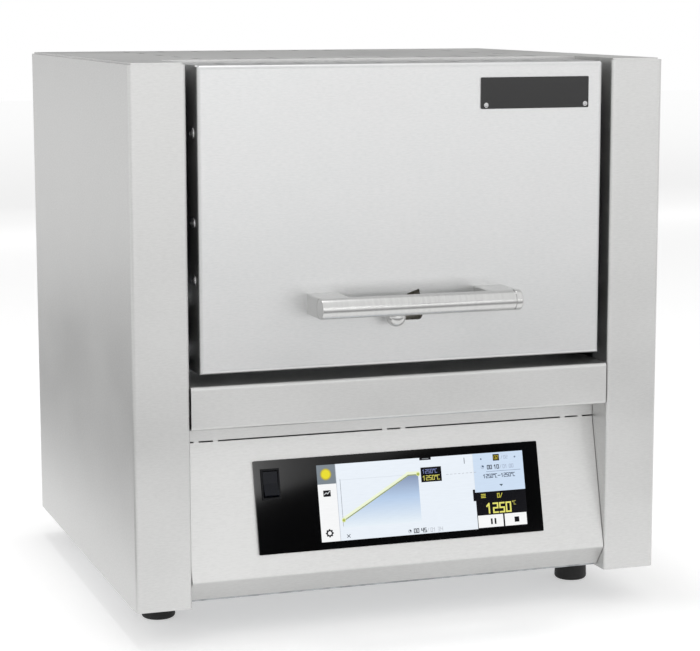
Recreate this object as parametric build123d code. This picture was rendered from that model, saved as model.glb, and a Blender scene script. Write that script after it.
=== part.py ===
from build123d import *
from math import asin, atan2, cos, degrees, hypot, radians, sin
import os

# A bench-top muffle furnace of about three litres with a lift door.
# Millimetres, +Z up, the operator stands at -Y. The origin is on the bench, under the middle
# of the whole length from the handle to the exhaust spigot.

# Casing
CASE_WIDTH = 385.0
CASE_DEPTH = 336.0
CASE_HEIGHT = 368.0
FOOT_HEIGHT = 24.0
SHEET = 1.2
BEND = 1.3
PILLAR_WIDTH = 39.0
PILLAR_RETURN = 24.0
PILLAR_CUT_DEPTH = 20.0
PILLAR_CUT_HEIGHT = 13.5
SIDE_FLANGE = 14.0
COVER_INSET = 2.5
COVER_TAB = 16.0
COVER_LIP = 4.0
SEAM = 0.6

# Ventilation slots in the top cover and the door's top
SLOT_LENGTH = 26.0
SLOT_WIDTH = 4.0
SLOT_MARGIN = 20.5
SLOT_COLUMNS = 10
SLOT_MIDDLE = 4.0
SLOT_ROW_DOOR = 35.0
SLOT_ROW_FIRST = 95.0
SLOT_ROW_PITCH = 54.0
SLOT_ROWS = 5

# Lift door
DOOR_SIDE_GAP = 7.0
DOOR_TOP_GAP = 2.0
DOOR_HEIGHT = 206.0
DOOR_DEPTH = 62.0
DOOR_BEND = 3.0
DOOR_FIBRE_GAP = 0.5
DOOR_FIBRE_EDGE = 34.5
DOOR_FIBRE_HEIGHT = 164.0
DOOR_FIBRE_START = 16.0
DOOR_SCREW_HEIGHTS = (63.0, 101.5, 161.0)
DOOR_SCREW_DEPTH = 12.0
DOOR_RELIEF_WIDTH = 2.0
DOOR_RELIEF_HEIGHT = 1.0

# Handle
HANDLE_DIAMETER = 14.0
HANDLE_STANDOFF = 28.3
HANDLE_RISE = 45.2
HANDLE_HALF = 71.3
HANDLE_ARM_WIDTH = 21.3
HANDLE_CAP_LENGTH = 4.9
HANDLE_CAP_GROOVE = 0.6
HANDLE_CAP_SEAM = 67.4
HANDLE_SCREW = 5.0

# Air-inlet slide in the door
AIR_WINDOW_LEFT = -0.4
AIR_WINDOW_WIDTH = 13.0
AIR_WINDOW_RISE = 30.6
AIR_WINDOW_HEIGHT = 21.5
AIR_WINDOW_LEAN = 2.8
AIR_WINDOW_CORNER = 3.0
AIR_WINDOW_CHAMFER_RISE = 3.2
AIR_WINDOW_CHAMFER_DROP = 9.0
AIR_KNOB_X = -11.6
AIR_KNOB_RISE = 35.1
AIR_KNOB_DIAMETER = 13.6
AIR_KNOB_STANDOFF = 12.0
AIR_STEM_DIAMETER = 4.0
AIR_PLATE_THICKNESS = 1.0
AIR_PLATE_LEFT = -29.0
AIR_PLATE_RIGHT = -1.6
AIR_PLATE_MARGIN = 5.0
AIR_TRAVEL = 15.0
AIR_DUCT_DIAMETER = 12.0

# Blank plate on the door
PLATE_WIDTH = 80.8
PLATE_HEIGHT = 21.6
PLATE_THICKNESS = 0.8
PLATE_EDGE = 11.3
PLATE_DROP = 10.2
RIVET_DIAMETER = 3.4
RIVET_EDGE = 2.6

# Fixed ledge under the door
LEDGE_HEIGHT = 30.1
LEDGE_GAP = 7.6
LEDGE_SIDE_GAP = 0.7
LEDGE_RETURN = 44.0

# Control panel, leaning back
PANEL_FOOT_RISE = 17.2
PANEL_FOOT_DEPTH = 0.8
PANEL_SLOPE_HEIGHT = 92.8
PANEL_LEAN = 13.9
PANEL_CHIN_DEPTH = 12.0
PANEL_CHIN_FLANGE = 14.0
PANEL_SLIT = 1.0
PANEL_TAB = 3.6
PANEL_TAB_PAIR = 13.7
PANEL_TAB_END = 9.9

# Glass front, display and power switch, placed up the slope of the panel
GLASS_WIDTH = 212.0
GLASS_HEIGHT = 64.5
GLASS_THICKNESS = 1.6
GLASS_MIDDLE = 1.0
GLASS_RISE = 15.2
GLASS_CORNER = 0.8
SCREEN_WIDTH = 155.2
SCREEN_HEIGHT = 53.3
SCREEN_LEFT = -59.8
SCREEN_RISE = 20.4
SCREEN_DEPTH = 7.0
SCREEN_RECESS = 0.15
SWITCH_WIDTH = 13.3
SWITCH_HEIGHT = 21.4
SWITCH_LEFT = -100.3
SWITCH_RISE = 52.5
SWITCH_LIP = 1.1
SWITCH_END_LIP = 1.4
SWITCH_RIM = 0.3
SWITCH_PROUD = 0.8
SWITCH_DEPTH = 14.0
SWITCH_THROW = 18.0
ROCKER_AXLE = 2.4
ROCKER_GAP = 0.35
ROCKER_PIVOT_DEPTH = 2.6
BOARD_THICKNESS = 1.6
BOARD_STANDOFF = 6.0
BOARD_EDGE = (6.0, 4.0)
BOARD_SPACER = 5.0
BOARD_SPACER_INSET = 6.0
BOARD_CHIPS = ((22.0, 34.0, 16.0, 9.0), (70.0, 22.0, 22.0, 6.0), (118.0, 30.0, 12.0, 12.0))

# Chamber
CHAMBER_WIDTH = 160.0
CHAMBER_HEIGHT = 100.0
CHAMBER_DEPTH = 140.0
CHAMBER_FLOOR_HEIGHT = 237.0
COLLAR_EDGE = 25.5
COLLAR_HEIGHT = 163.0
COLLAR_DEPTH = 24.6
SHELL_BAY = 19.0
SHELL_SHEET = 1.0
SHELL_FLOOR = 57.0
SHELL_HEADROOM = 10.0
SHELL_DEPTH = 202.0
FLOOR_TILE = 8.0
FLOOR_TILE_GAP = 0.5
HEATER_THICKNESS = 8.0
HEATER_GROOVES = 5
HEATER_GROOVE_RADIUS = 3.0
HEATER_WIRE_DIAMETER = 3.6
THERMOCOUPLE_DIAMETER = 6.0
THERMOCOUPLE_REACH = 32.0
THERMOCOUPLE_RISE = 63.0
EXHAUST_X = 44.0
EXHAUST_DROP = 19.0
EXHAUST_BORE = 22.0
EXHAUST_OUTSIDE = 28.0
EXHAUST_FLANGE = 52.0
EXHAUST_FLANGE_THICKNESS = 2.0
SPIGOT_DIAMETER = 30.0
SPIGOT_REACH = 20.0

# Lift linkage: two parallel links on each side keep the door upright
LINK_THICKNESS = 3.0
LINK_WIDTH = 18.0
LINK_LENGTH = 150.0
LINK_ANGLE = 31.1
LINK_CLEAR = 1.0
LINK_SIDE_PLAY = 0.2
DOOR_PIVOT_DEPTH = 44.0
UPPER_PIVOT_RISE = 48.0
LOWER_PIVOT_RISE = 12.0
PIVOT_DIAMETER = 8.0
PIVOT_HEAD = 12.0
PIVOT_HEAD_HEIGHT = 1.4
PIVOT_BOSS = 14.0
RUNNING_FIT = 0.05
OPEN_PIVOT_FIT = 0.3
TAIL_LENGTH = 32.0
BRACKET_SHEET = 3.0

# Counterbalance springs
SPRING_PIN = 6.0
SPRING_ANCHOR_HEIGHT = 112.0
SPRING_DIAMETER = 8.4
SPRING_WIRE = 1.4
SPRING_BODY = 96.0
SPRING_COILS = 16
SPRING_SIDE_GAP = 0.55
SPRING_COIL_RELIEF = 0.7

# Side frames, shelf and the cable way in the bulkhead
CABLE_WAY = 60.0
FRAME_SHEET = 1.5
FRAME_START = 68.0
FRAME_DEPTH = 226.0
FRAME_HEADROOM = 12.0
FRAME_WINDOW_SIDE = 28.0
FRAME_WINDOW_END = 22.0
FRAME_WINDOW_CORNER = 8.0
FRAME_FOOT = 14.0

# Rear: fan, mains inlet, exhaust
FAN_SIZE = 92.0
FAN_DEPTH = 25.0
FAN_X = -70.0
FAN_HEIGHT = 104.0
FAN_BLADES = 7
FAN_HUB = 36.0
FAN_TIP_GAP = 1.2
FAN_AXLE = 4.0
INLET_WIDTH = 28.0
INLET_HEIGHT = 20.0
INLET_EDGE = 80.5
INLET_CENTRE = 70.0
INLET_DEPTH = 24.0
INLET_FLANGE = 2.5
INLET_EARS = 11.0
INLET_BROW = 2.0
INLET_WALL = 2.0
INLET_POCKET = 15.0
INLET_SCREW = 3.4
INLET_PIN = (2.0, 4.0)
INLET_PIN_REACH = 13.0
INLET_PINS = ((-7.0, -1.5), (7.0, -1.5), (0.0, 2.5))
GRILLE_SLOTS = 9

# Power electronics on the floor plate: the heat sink with its relay, and the terminals
SINK_LEFT = 40.0
SINK_START = 150.0
SINK_WIDTH = 59.0
SINK_LENGTH = 70.0
SINK_HEIGHT = 28.0
SINK_BASE = 6.0
SINK_FIN = 2.0
SINK_FINS = 6
SINK_FIN_EDGE = 1.0
SINK_SHORT_FIN = 18.0
RELAY_WIDTH = 42.0
RELAY_LENGTH = 44.0
RELAY_HEIGHT = 22.0
RELAY_CORNER = 2.0
RELAY_GAP = 4.0
TERMINAL_LEFT = -110.0
TERMINAL_START = 170.0
TERMINAL_COUNT = 8
TERMINAL_WIDTH = 8.5
TERMINAL_PITCH = 10.3
TERMINAL_LENGTH = 26.0
TERMINAL_HEIGHT = 34.0
TERMINAL_RAIL = 8.0
TERMINAL_EDGE = (2.0, 4.0)

# Feet
FOOT_DIAMETER = 24.0
FOOT_TOP_DIAMETER = 20.0
FOOT_ROUND = 2.5
FOOT_IN = 32.4
FOOT_BACK = 71.6
FOOT_SCREW = 6.0
FOOT_RECESS = 8.5

# Planes worked out from the sizes above
HALF = CASE_WIDTH / 2
OPENING = HALF - PILLAR_WIDTH
BOTTOM = FOOT_HEIGHT
TOP = BOTTOM + CASE_HEIGHT
HANDLE_REACH = HANDLE_STANDOFF + HANDLE_DIAMETER / 2
FRONT = (HANDLE_REACH - CASE_DEPTH - SPIGOT_REACH) / 2
BACK = FRONT + CASE_DEPTH
SIDE_TOP = TOP - SHEET
FLOOR = BOTTOM + SHEET
DECK = FLOOR + SHEET
DOOR_HALF = OPENING - DOOR_SIDE_GAP
DOOR_TOP = TOP - DOOR_TOP_GAP
DOOR_BOTTOM = DOOR_TOP - DOOR_HEIGHT
DOOR_MIDDLE = DOOR_BOTTOM + DOOR_HEIGHT / 2
DOOR_BACK = FRONT + DOOR_DEPTH
LEDGE_TOP = DOOR_BOTTOM - LEDGE_GAP
LEDGE_BOTTOM = LEDGE_TOP - LEDGE_HEIGHT
BULKHEAD = DOOR_BACK + 2.0
CHAMBER_MOUTH = BULKHEAD - DOOR_FIBRE_GAP
CHAMBER_END = CHAMBER_MOUTH + CHAMBER_DEPTH
CHAMBER_ROOF = CHAMBER_FLOOR_HEIGHT + CHAMBER_HEIGHT
SHELL_BACK = BULKHEAD + SHEET + SHELL_DEPTH
HANDLE_Y = FRONT - HANDLE_STANDOFF
HANDLE_Z = DOOR_BOTTOM + HANDLE_RISE
LINK_INNER = DOOR_HALF + LINK_CLEAR
LINK_OUTER = LINK_INNER + LINK_THICKNESS
FRAME_INSIDE = LINK_OUTER + SPRING_DIAMETER + 2 * SPRING_SIDE_GAP
SHELL_HALF = FRAME_INSIDE - SHELL_BAY
COLLAR_WIDTH = 2 * (SHELL_HALF - COLLAR_EDGE)
DOOR_FIBRE_WIDTH = 2 * (DOOR_HALF - DOOR_FIBRE_EDGE)
PLATE_LEFT = DOOR_HALF - PLATE_EDGE - PLATE_WIDTH
SLOT_PITCH = 2 * (DOOR_HALF - SLOT_MARGIN) / (SLOT_COLUMNS - 1)
SHELL_BOTTOM = CHAMBER_FLOOR_HEIGHT - SHELL_FLOOR
SHELL_TOP = TOP - SHELL_HEADROOM
FRAME_TOP = TOP - FRAME_HEADROOM
THERMOCOUPLE_HEIGHT = CHAMBER_FLOOR_HEIGHT + THERMOCOUPLE_RISE
EXHAUST_HEIGHT = CHAMBER_ROOF - EXHAUST_DROP
INLET_X = HALF - INLET_EDGE
COVER_NOTCH = OPENING + SHEET + SEAM


def block(x_low, x_high, y_low, y_high, z_low, z_high):
    """Box between two limits on each axis."""
    middle = Pos((x_low + x_high) / 2, (y_low + y_high) / 2, (z_low + z_high) / 2)
    return middle * Box(x_high - x_low, y_high - y_low, z_high - z_low)


def rod(radius, start, end):
    """Round bar between two points."""
    axis = Vector(*end) - Vector(*start)
    return extrude(Plane(origin=start, z_dir=axis) * Circle(radius), axis.length)


def turned(outline, origin, axis):
    """Solid turned about an axis, from a closed line in (radius, distance along the axis)."""
    side = Vector(0, 0, 1) if abs(Vector(*axis).Z) < 0.5 else Vector(1, 0, 0)
    plane = Plane(origin=origin, x_dir=side, z_dir=side.cross(Vector(*axis)))
    return revolve(plane * make_face(outline), Axis(origin, axis))


def lathe(origin, axis, steps):
    """Stepped round bar: each step is (radius, from, to) along the axis."""
    return fused([rod(r, *(Vector(*origin) + Vector(*axis) * t for t in (a, b))) for r, a, b in steps])


def fused(solids):
    whole = solids[0]
    for solid in solids[1:]:
        whole = whole + solid
    return whole


def mirrored(solid):
    """The same piece on the left-hand side."""
    return mirror(solid, about=Plane.YZ)


def both_sides(solid):
    return [solid, mirrored(solid)]


def save(name, solids):
    """Write one node: a single solid, or a group of separate ones."""
    pieces = list(solids) if isinstance(solids, (list, tuple)) else [solids]
    pieces = [body for piece in pieces for body in piece.solids()]
    shape = pieces[0] if len(pieces) == 1 else Compound(children=pieces)
    export_step(shape, f"parts/{name}.step")


def left_of(points, distance):
    """The polyline moved sideways to its left by a distance, with mitred corners."""
    moved = []
    count = len(points)
    for i, (x, y) in enumerate(points):
        sides = []
        for a, b in ((i - 1, i), (i, i + 1)):
            if a >= 0 and b < count:
                dx, dy = points[b][0] - points[a][0], points[b][1] - points[a][1]
                sides.append((-dy / hypot(dx, dy), dx / hypot(dx, dy)))
        nx, ny = sum(s[0] for s in sides), sum(s[1] for s in sides)
        stretch = distance * len(sides) / (nx * nx + ny * ny)
        moved.append((x + nx * stretch, y + ny * stretch))
    return moved


def folded(points, thickness, bend):
    """Section of a folded sheet: a line of flats, the sheet's thickness on its left, rounded bends."""
    turns = []
    for a, b, c in zip(points, points[1:], points[2:]):
        turns.append((b[0] - a[0]) * (c[1] - b[1]) - (b[1] - a[1]) * (c[0] - b[0]))
    near = [bend + thickness if turn > 0 else bend for turn in turns]
    far = [bend if turn > 0 else bend + thickness for turn in turns]
    one = FilletPolyline(*points, radius=near)
    two = FilletPolyline(*left_of(points, thickness), radius=far)
    ends = [Line(one @ 0, two @ 0).edge(), Line(one @ 1, two @ 1).edge()]
    return make_face(ShapeList(list(one.edges()) + list(two.edges()) + ends))


def across(section, half_width):
    """A (Y, Z) section carried across the width, to the same distance each side."""
    return Pos(-half_width, 0, 0) * extrude(Plane.YZ * section, 2 * half_width)


def yz_plate(sketch, x_low, thickness):
    """A flat plate square to X, from a (Y, Z) sketch."""
    return Pos(x_low, 0, 0) * extrude(Plane.YZ * sketch, thickness)


def slot_cutter(x, y, z):
    """Tool for one ventilation slot, long from front to back, through a level sheet."""
    slot = Pos(x, y, z - 2 * SHEET) * SlotOverall(SLOT_LENGTH, SLOT_WIDTH, rotation=90)
    return extrude(slot, 4 * SHEET)


def slot_columns():
    first = SLOT_MIDDLE - SLOT_PITCH * (SLOT_COLUMNS - 1) / 2
    return [first + SLOT_PITCH * i for i in range(SLOT_COLUMNS)]


# Sheet-metal casing

def side_panel():
    """Right-hand side: door pillar with its return, side wall, rear flange and top flange in one sheet."""
    plan = [
        (OPENING, FRONT + PILLAR_RETURN),
        (OPENING, FRONT),
        (HALF, FRONT),
        (HALF, BACK - SHEET),
        (HALF - SIDE_FLANGE, BACK - SHEET),
    ]
    wall = Pos(0, 0, BOTTOM) * extrude(folded(plan, SHEET, BEND), SIDE_TOP - BOTTOM)
    corner = BEND + SHEET
    top_flange = block(HALF - SIDE_FLANGE, HALF - SHEET / 2, FRONT + SHEET / 2, BACK - 1.5 * SHEET,
                       SIDE_TOP - SHEET, SIDE_TOP)
    pillar_top = block(COVER_NOTCH + SHEET + SEAM / 2, HALF - SHEET / 2, FRONT + SHEET / 2,
                       FRONT + PILLAR_RETURN, SIDE_TOP - SHEET, SIDE_TOP)
    foot_flange = block(HALF - SIDE_FLANGE, HALF - SHEET / 2, FRONT + corner, BACK - 1.5 * SHEET,
                        BOTTOM, BOTTOM + SHEET)
    cut = [
        (FRONT, TOP),
        (FRONT + SHEET, TOP),
        (FRONT + 2 * PILLAR_RETURN, TOP),
        (FRONT + 2 * PILLAR_RETURN, TOP - 2 * PILLAR_RETURN * PILLAR_CUT_HEIGHT / PILLAR_CUT_DEPTH),
    ]
    slant = yz_plate(make_face(Polyline(*cut, close=True)), OPENING - SHEET, 2.5 * SHEET)
    return wall + top_flange + pillar_top + foot_flange - slant


def top_cover():
    """Lid with a notch for the lifting door, turned-down notch edges and slots round its rim."""
    edge = HALF - COVER_INSET
    lid = block(-edge, edge, FRONT + COVER_INSET, BACK, SIDE_TOP, TOP)
    notch_end = BULKHEAD + SHEET
    notch = block(-COVER_NOTCH, COVER_NOTCH, FRONT - SHEET, notch_end, SIDE_TOP - SHEET, TOP + SHEET)
    tab = block(COVER_NOTCH, COVER_NOTCH + SHEET, FRONT + COVER_INSET + SEAM, notch_end + SHEET,
                SIDE_TOP - COVER_TAB, TOP - SHEET / 2)
    lip = block(-COVER_NOTCH - SHEET / 2, COVER_NOTCH + SHEET / 2, notch_end, notch_end + SHEET,
                SIDE_TOP - COVER_LIP, TOP - SHEET / 2)
    apron = block(-edge, edge, BACK - SHEET, BACK, SIDE_TOP - SIDE_FLANGE, TOP - SHEET / 2)
    cover = lid - notch + tab + mirrored(tab) + lip + apron
    columns = slot_columns()
    for row in range(SLOT_ROWS):
        y = FRONT + SLOT_ROW_FIRST + SLOT_ROW_PITCH * row
        full = row in (0, SLOT_ROWS - 1)
        for x in columns if full else (columns[0], columns[-1]):
            cover -= slot_cutter(x, y, TOP)
    return cover


def base_plate():
    """Floor of the casing, resting on the side panels' foot flanges, with air slots and foot holes."""
    inside = HALF - SHEET - LEDGE_SIDE_GAP / 2
    plate = block(-inside, inside, FRONT + PANEL_CHIN_DEPTH + SHEET, BACK - 2 * SHEET - BEND, FLOOR, DECK)
    corner = block(inside - PILLAR_WIDTH, HALF, FRONT, FRONT + PILLAR_RETURN + SHEET, BOTTOM, DECK + SHEET)
    plate -= corner
    plate -= mirrored(corner)
    for x in slot_columns()[2:-2]:
        plate -= slot_cutter(x, FRONT + CASE_DEPTH / 2, DECK)
    for x, y in foot_places():
        plate -= rod(FOOT_SCREW / 2, (x, y, BOTTOM), (x, y, DECK + SHEET))
    return plate


def rear_panel():
    """Back sheet with the fan grille, the inlet and exhaust openings, and two rows of slots."""
    edge = HALF - COVER_INSET
    panel = block(-edge, edge, BACK - SHEET, BACK, BOTTOM, SIDE_TOP - SIDE_FLANGE - SEAM / 2)
    radius = FAN_SIZE / 2 - 4
    pitch = 2 * radius / GRILLE_SLOTS
    for i in range(GRILLE_SLOTS):
        offset = pitch * (i - (GRILLE_SLOTS - 1) / 2)
        reach = (radius * radius - offset * offset) ** 0.5 - 1
        panel -= block(FAN_X - reach, FAN_X + reach, BACK - 2 * SHEET, BACK + SHEET,
                       FAN_HEIGHT + offset - pitch / 4, FAN_HEIGHT + offset + pitch / 4)
    for x, z in fan_screw_places():
        panel -= rod(2.1, (x, BACK - 2 * SHEET, z), (x, BACK + SHEET, z))
    panel -= block(INLET_X - INLET_WIDTH / 2, INLET_X + INLET_WIDTH / 2, BACK - 2 * SHEET, BACK + SHEET,
                   INLET_CENTRE - INLET_HEIGHT / 2, INLET_CENTRE + INLET_HEIGHT / 2)
    panel -= rod(EXHAUST_OUTSIDE / 2, (EXHAUST_X, BACK - 2 * SHEET, EXHAUST_HEIGHT),
                 (EXHAUST_X, BACK + SHEET, EXHAUST_HEIGHT))
    for x in slot_columns()[1:-1]:
        panel -= block(x - SLOT_WIDTH / 2, x + SLOT_WIDTH / 2, BACK - 2 * SHEET, BACK + SHEET,
                       SHELL_BOTTOM, SHELL_BOTTOM + SLOT_LENGTH)
    return panel


def front_ledge():
    """Fixed ledge under the door: top, face and underside folded from one sheet."""
    line = [
        (FRONT + LEDGE_RETURN, LEDGE_BOTTOM),
        (FRONT, LEDGE_BOTTOM),
        (FRONT, LEDGE_TOP),
        (BULKHEAD, LEDGE_TOP),
        (BULKHEAD, LEDGE_TOP - SIDE_FLANGE),
    ]
    section = folded(line[::-1], SHEET, BEND)
    return across(section, OPENING - LEDGE_SIDE_GAP)


def panel_slope():
    """Foot and head of the leaning face of the control panel, as (Y, Z)."""
    foot = (FRONT + PANEL_FOOT_DEPTH, BOTTOM + PANEL_FOOT_RISE)
    run = PANEL_SLOPE_HEIGHT * sin(radians(PANEL_LEAN)) / cos(radians(PANEL_LEAN))
    return foot, (foot[0] + run, foot[1] + PANEL_SLOPE_HEIGHT)


def control_panel():
    """Leaning sheet with a chin below, a slit bend line and an upright band up to the ledge above."""
    foot, head = panel_slope()
    shoulder = (head[0], LEDGE_BOTTOM - SHEET)
    line = [
        (FRONT + PANEL_CHIN_DEPTH + PANEL_CHIN_FLANGE, DECK),
        (FRONT + PANEL_CHIN_DEPTH, DECK),
        foot,
        head,
        shoulder,
        (shoulder[0] + SIDE_FLANGE, shoulder[1]),
    ]
    section = folded([(y, z) for y, z in line[::-1]], SHEET, BEND / 2)
    sheet = across(section, OPENING - SEAM / 2)
    sheet -= on_panel(block_on_panel(SCREEN_LEFT, SCREEN_WIDTH, SCREEN_RISE, SCREEN_HEIGHT, 0.6))
    sheet -= on_panel(block_on_panel(SWITCH_LEFT, SWITCH_WIDTH, SWITCH_RISE, SWITCH_HEIGHT, -SWITCH_RIM))
    for left, right in bend_slits():
        sheet -= block(left, right, head[0] - SHEET, head[0] + 3 * SHEET,
                       head[1] - PANEL_SLIT / 2, head[1] + PANEL_SLIT / 2)
    return sheet


def bend_slits():
    """Slits along the upper bend, as (left, right): all of it is cut but six narrow tabs."""
    outer = OPENING - PANEL_TAB_END
    tabs = [PANEL_TAB_PAIR / 2, outer - PANEL_TAB_PAIR, outer]
    tabs = sorted([-x for x in tabs] + tabs)
    starts = [-OPENING] + [x + PANEL_TAB / 2 for x in tabs]
    ends = [x - PANEL_TAB / 2 for x in tabs] + [OPENING]
    return list(zip(starts, ends))


def on_panel(solid):
    """From the panel's own axes (across, up the slope, outward) to its place in the furnace."""
    foot = panel_slope()[0]
    lean = radians(PANEL_LEAN)
    plane = Plane(origin=(0, *foot), x_dir=(1, 0, 0), z_dir=(0, -cos(lean), sin(lean)))
    return plane.location * solid


def block_on_panel(left, width, rise, height, margin):
    """Tool for a window in the panel or the glass."""
    return block(left - margin, left + width + margin, rise - margin, rise + height + margin, -10, 10)


def front_glass():
    """Black glass over the panel, with openings for the display and the switch."""
    plate = extrude(Pos(GLASS_MIDDLE, GLASS_RISE + GLASS_HEIGHT / 2) *
                    RectangleRounded(GLASS_WIDTH, GLASS_HEIGHT, GLASS_CORNER), GLASS_THICKNESS)
    plate -= block_on_panel(SCREEN_LEFT, SCREEN_WIDTH, SCREEN_RISE, SCREEN_HEIGHT, 0)
    plate -= block_on_panel(SWITCH_LEFT, SWITCH_WIDTH, SWITCH_RISE, SWITCH_HEIGHT, -SWITCH_RIM)
    return on_panel(plate)


def display_screen():
    """Touch display: its face lies in the glass opening, its case behind the panel."""
    face = block(SCREEN_LEFT, SCREEN_LEFT + SCREEN_WIDTH, SCREEN_RISE, SCREEN_RISE + SCREEN_HEIGHT,
                 -SCREEN_DEPTH, GLASS_THICKNESS - SCREEN_RECESS)
    return on_panel(face)


def controller_board():
    """Circuit board behind the display, on four spacers, with three large components."""
    low = -SCREEN_DEPTH - BOARD_STANDOFF
    side, rise = BOARD_EDGE
    right, top = SCREEN_LEFT + SCREEN_WIDTH, SCREEN_RISE + SCREEN_HEIGHT
    board = block(SCREEN_LEFT - side, right + side, SCREEN_RISE - rise, top + rise, low - BOARD_THICKNESS, low)
    for x in (SCREEN_LEFT + BOARD_SPACER_INSET, right - BOARD_SPACER_INSET):
        for v in (SCREEN_RISE + BOARD_SPACER_INSET, top - BOARD_SPACER_INSET):
            board += rod(BOARD_SPACER / 2, (x, v, low - BOARD_THICKNESS / 2), (x, v, -SCREEN_DEPTH))
    middle = (SCREEN_RISE + top) / 2
    for offset, width, height, depth in BOARD_CHIPS:
        x = SCREEN_LEFT + offset
        board += block(x, x + width, middle - height / 2, middle + height / 2,
                       low - BOARD_THICKNESS - depth, low - BOARD_THICKNESS / 2)
    return on_panel(board)


def switch_pivot():
    """Rocker axis on the panel, as (up the slope, outward)."""
    return SWITCH_RISE + SWITCH_HEIGHT / 2, GLASS_THICKNESS + SWITCH_PROUD - ROCKER_PIVOT_DEPTH


def switch_housing():
    """Switch body with a thin rim on the glass and an open pocket for the rocker."""
    middle = SWITCH_LEFT + SWITCH_WIDTH / 2
    rise, out = switch_pivot()
    rim_top = GLASS_THICKNESS + SWITCH_PROUD
    rim = block(SWITCH_LEFT, SWITCH_LEFT + SWITCH_WIDTH, SWITCH_RISE, SWITCH_RISE + SWITCH_HEIGHT,
                GLASS_THICKNESS, rim_top)
    half_width = SWITCH_WIDTH / 2 - SWITCH_RIM
    half_height = SWITCH_HEIGHT / 2 - SWITCH_RIM
    body = block(middle - half_width, middle + half_width, rise - half_height, rise + half_height,
                 -SWITCH_DEPTH, GLASS_THICKNESS + SWITCH_PROUD / 2)
    pocket = block(middle - rocker_half_width() - ROCKER_GAP, middle + rocker_half_width() + ROCKER_GAP,
                   rise - rocker_radius() - ROCKER_GAP, rise + rocker_radius() + ROCKER_GAP,
                   out - rocker_radius() + 1, rim_top + 1)
    axle = rod(ROCKER_AXLE / 2 + RUNNING_FIT, (middle - half_width + 0.4, rise, out),
               (middle + half_width - 0.4, rise, out))
    return on_panel(rim + body - pocket - axle)



def rocker_half_width():
    return SWITCH_WIDTH / 2 - SWITCH_LIP - ROCKER_GAP


def rocker_radius():
    return SWITCH_HEIGHT / 2 - SWITCH_END_LIP - ROCKER_GAP


def rocker():
    """Two-way rocker with a shallow V face, pressed at its upper end, on stub axles."""
    middle = SWITCH_LEFT + SWITCH_WIDTH / 2
    rise, out = switch_pivot()
    radius, half = rocker_radius(), rocker_half_width()
    tilt = radians(SWITCH_THROW / 2)
    face_height = ROCKER_PIVOT_DEPTH - 0.4
    end_height = face_height + radius * sin(tilt)
    profile = make_face(Polyline(
        (-radius, -radius / 2), (radius, -radius / 2), (radius, end_height), (0, face_height),
        (-radius, end_height), close=True))
    section = profile & Circle(radius)
    body = Pos(-half, 0, 0) * extrude(Plane.YZ * section, 2 * half)
    reach = half + 2 * ROCKER_GAP - 2 * RUNNING_FIT
    body += rod(ROCKER_AXLE / 2, (-reach, 0, 0), (reach, 0, 0))
    return on_panel(Pos(middle, rise, out) * Rot(SWITCH_THROW / 2 * -1, 0, 0) * body)


# Door

def door_cover():
    """Front tray of the door: face, four returns, air window, stem slot and a row of top slots."""
    outer = block(-DOOR_HALF, DOOR_HALF, FRONT, DOOR_BACK, DOOR_BOTTOM, DOOR_TOP)
    front_edges = outer.faces().sort_by(Axis.Y)[0].edges()
    outer = fillet(front_edges, DOOR_BEND)
    inner = block(-DOOR_HALF + SHEET, DOOR_HALF - SHEET, FRONT + SHEET, DOOR_BACK + SHEET,
                  DOOR_BOTTOM + SHEET, DOOR_TOP - SHEET)
    inner = fillet(inner.faces().sort_by(Axis.Y)[0].edges(), DOOR_BEND - SHEET)
    tray = outer - inner - extrude(Plane.XZ.offset(-FRONT) * air_window(), 2 * SHEET, both=True)
    for x in slot_columns():
        tray -= slot_cutter(x, FRONT + SLOT_ROW_DOOR, DOOR_TOP)
    for y, z, half in door_side_holes():
        tray -= rod(half, (-DOOR_HALF - 1, y, z), (DOOR_HALF + 1, y, z))
    for x in handle_arm_centres():
        tray -= rod(HANDLE_SCREW / 2, (x, FRONT - 1, HANDLE_Z), (x, FRONT + 2 * SHEET, HANDLE_Z))
    relief = block(DOOR_HALF - DOOR_RELIEF_WIDTH, DOOR_HALF + SHEET, FRONT - SHEET, FRONT + DOOR_BEND + SHEET,
                   DOOR_TOP - DOOR_RELIEF_HEIGHT, DOOR_TOP + SHEET)
    return tray - relief - mirrored(relief)


def door_side_holes():
    """Holes through the door's sides: cover screws, then link pivots, as (y, z, radius)."""
    holes = [(FRONT + DOOR_SCREW_DEPTH, DOOR_BOTTOM + rise, 2.0) for rise in DOOR_SCREW_HEIGHTS]
    return holes + [(*door_pivot(rise), PIVOT_DIAMETER / 2) for rise in (UPPER_PIVOT_RISE, LOWER_PIVOT_RISE)]


def air_window():
    """Air opening in the door's face, leaning a little, with the stem's slot beside it."""
    left, low = AIR_WINDOW_LEFT, DOOR_BOTTOM + AIR_WINDOW_RISE
    right, high = left + AIR_WINDOW_WIDTH, low + AIR_WINDOW_HEIGHT
    shape = make_face(FilletPolyline(
        (left, low), (right, low), (right - AIR_WINDOW_LEAN, high),
        (left + AIR_WINDOW_LEAN / 2, high - AIR_WINDOW_CHAMFER_RISE),
        (left, high - AIR_WINDOW_CHAMFER_DROP), close=True, radius=[0.5, AIR_WINDOW_CORNER, 0.8, 0.8, 1.0]))
    stem_low = knob_height() - AIR_STEM_DIAMETER / 2 - 0.3
    slot_left = AIR_KNOB_X - AIR_STEM_DIAMETER / 2 - 0.3
    slot = Pos((slot_left + left + 1) / 2, knob_height()) * Rectangle(left + 1 - slot_left,
                                                                     2 * (knob_height() - stem_low))
    return shape + slot


def knob_height():
    return DOOR_BOTTOM + AIR_KNOB_RISE


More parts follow.
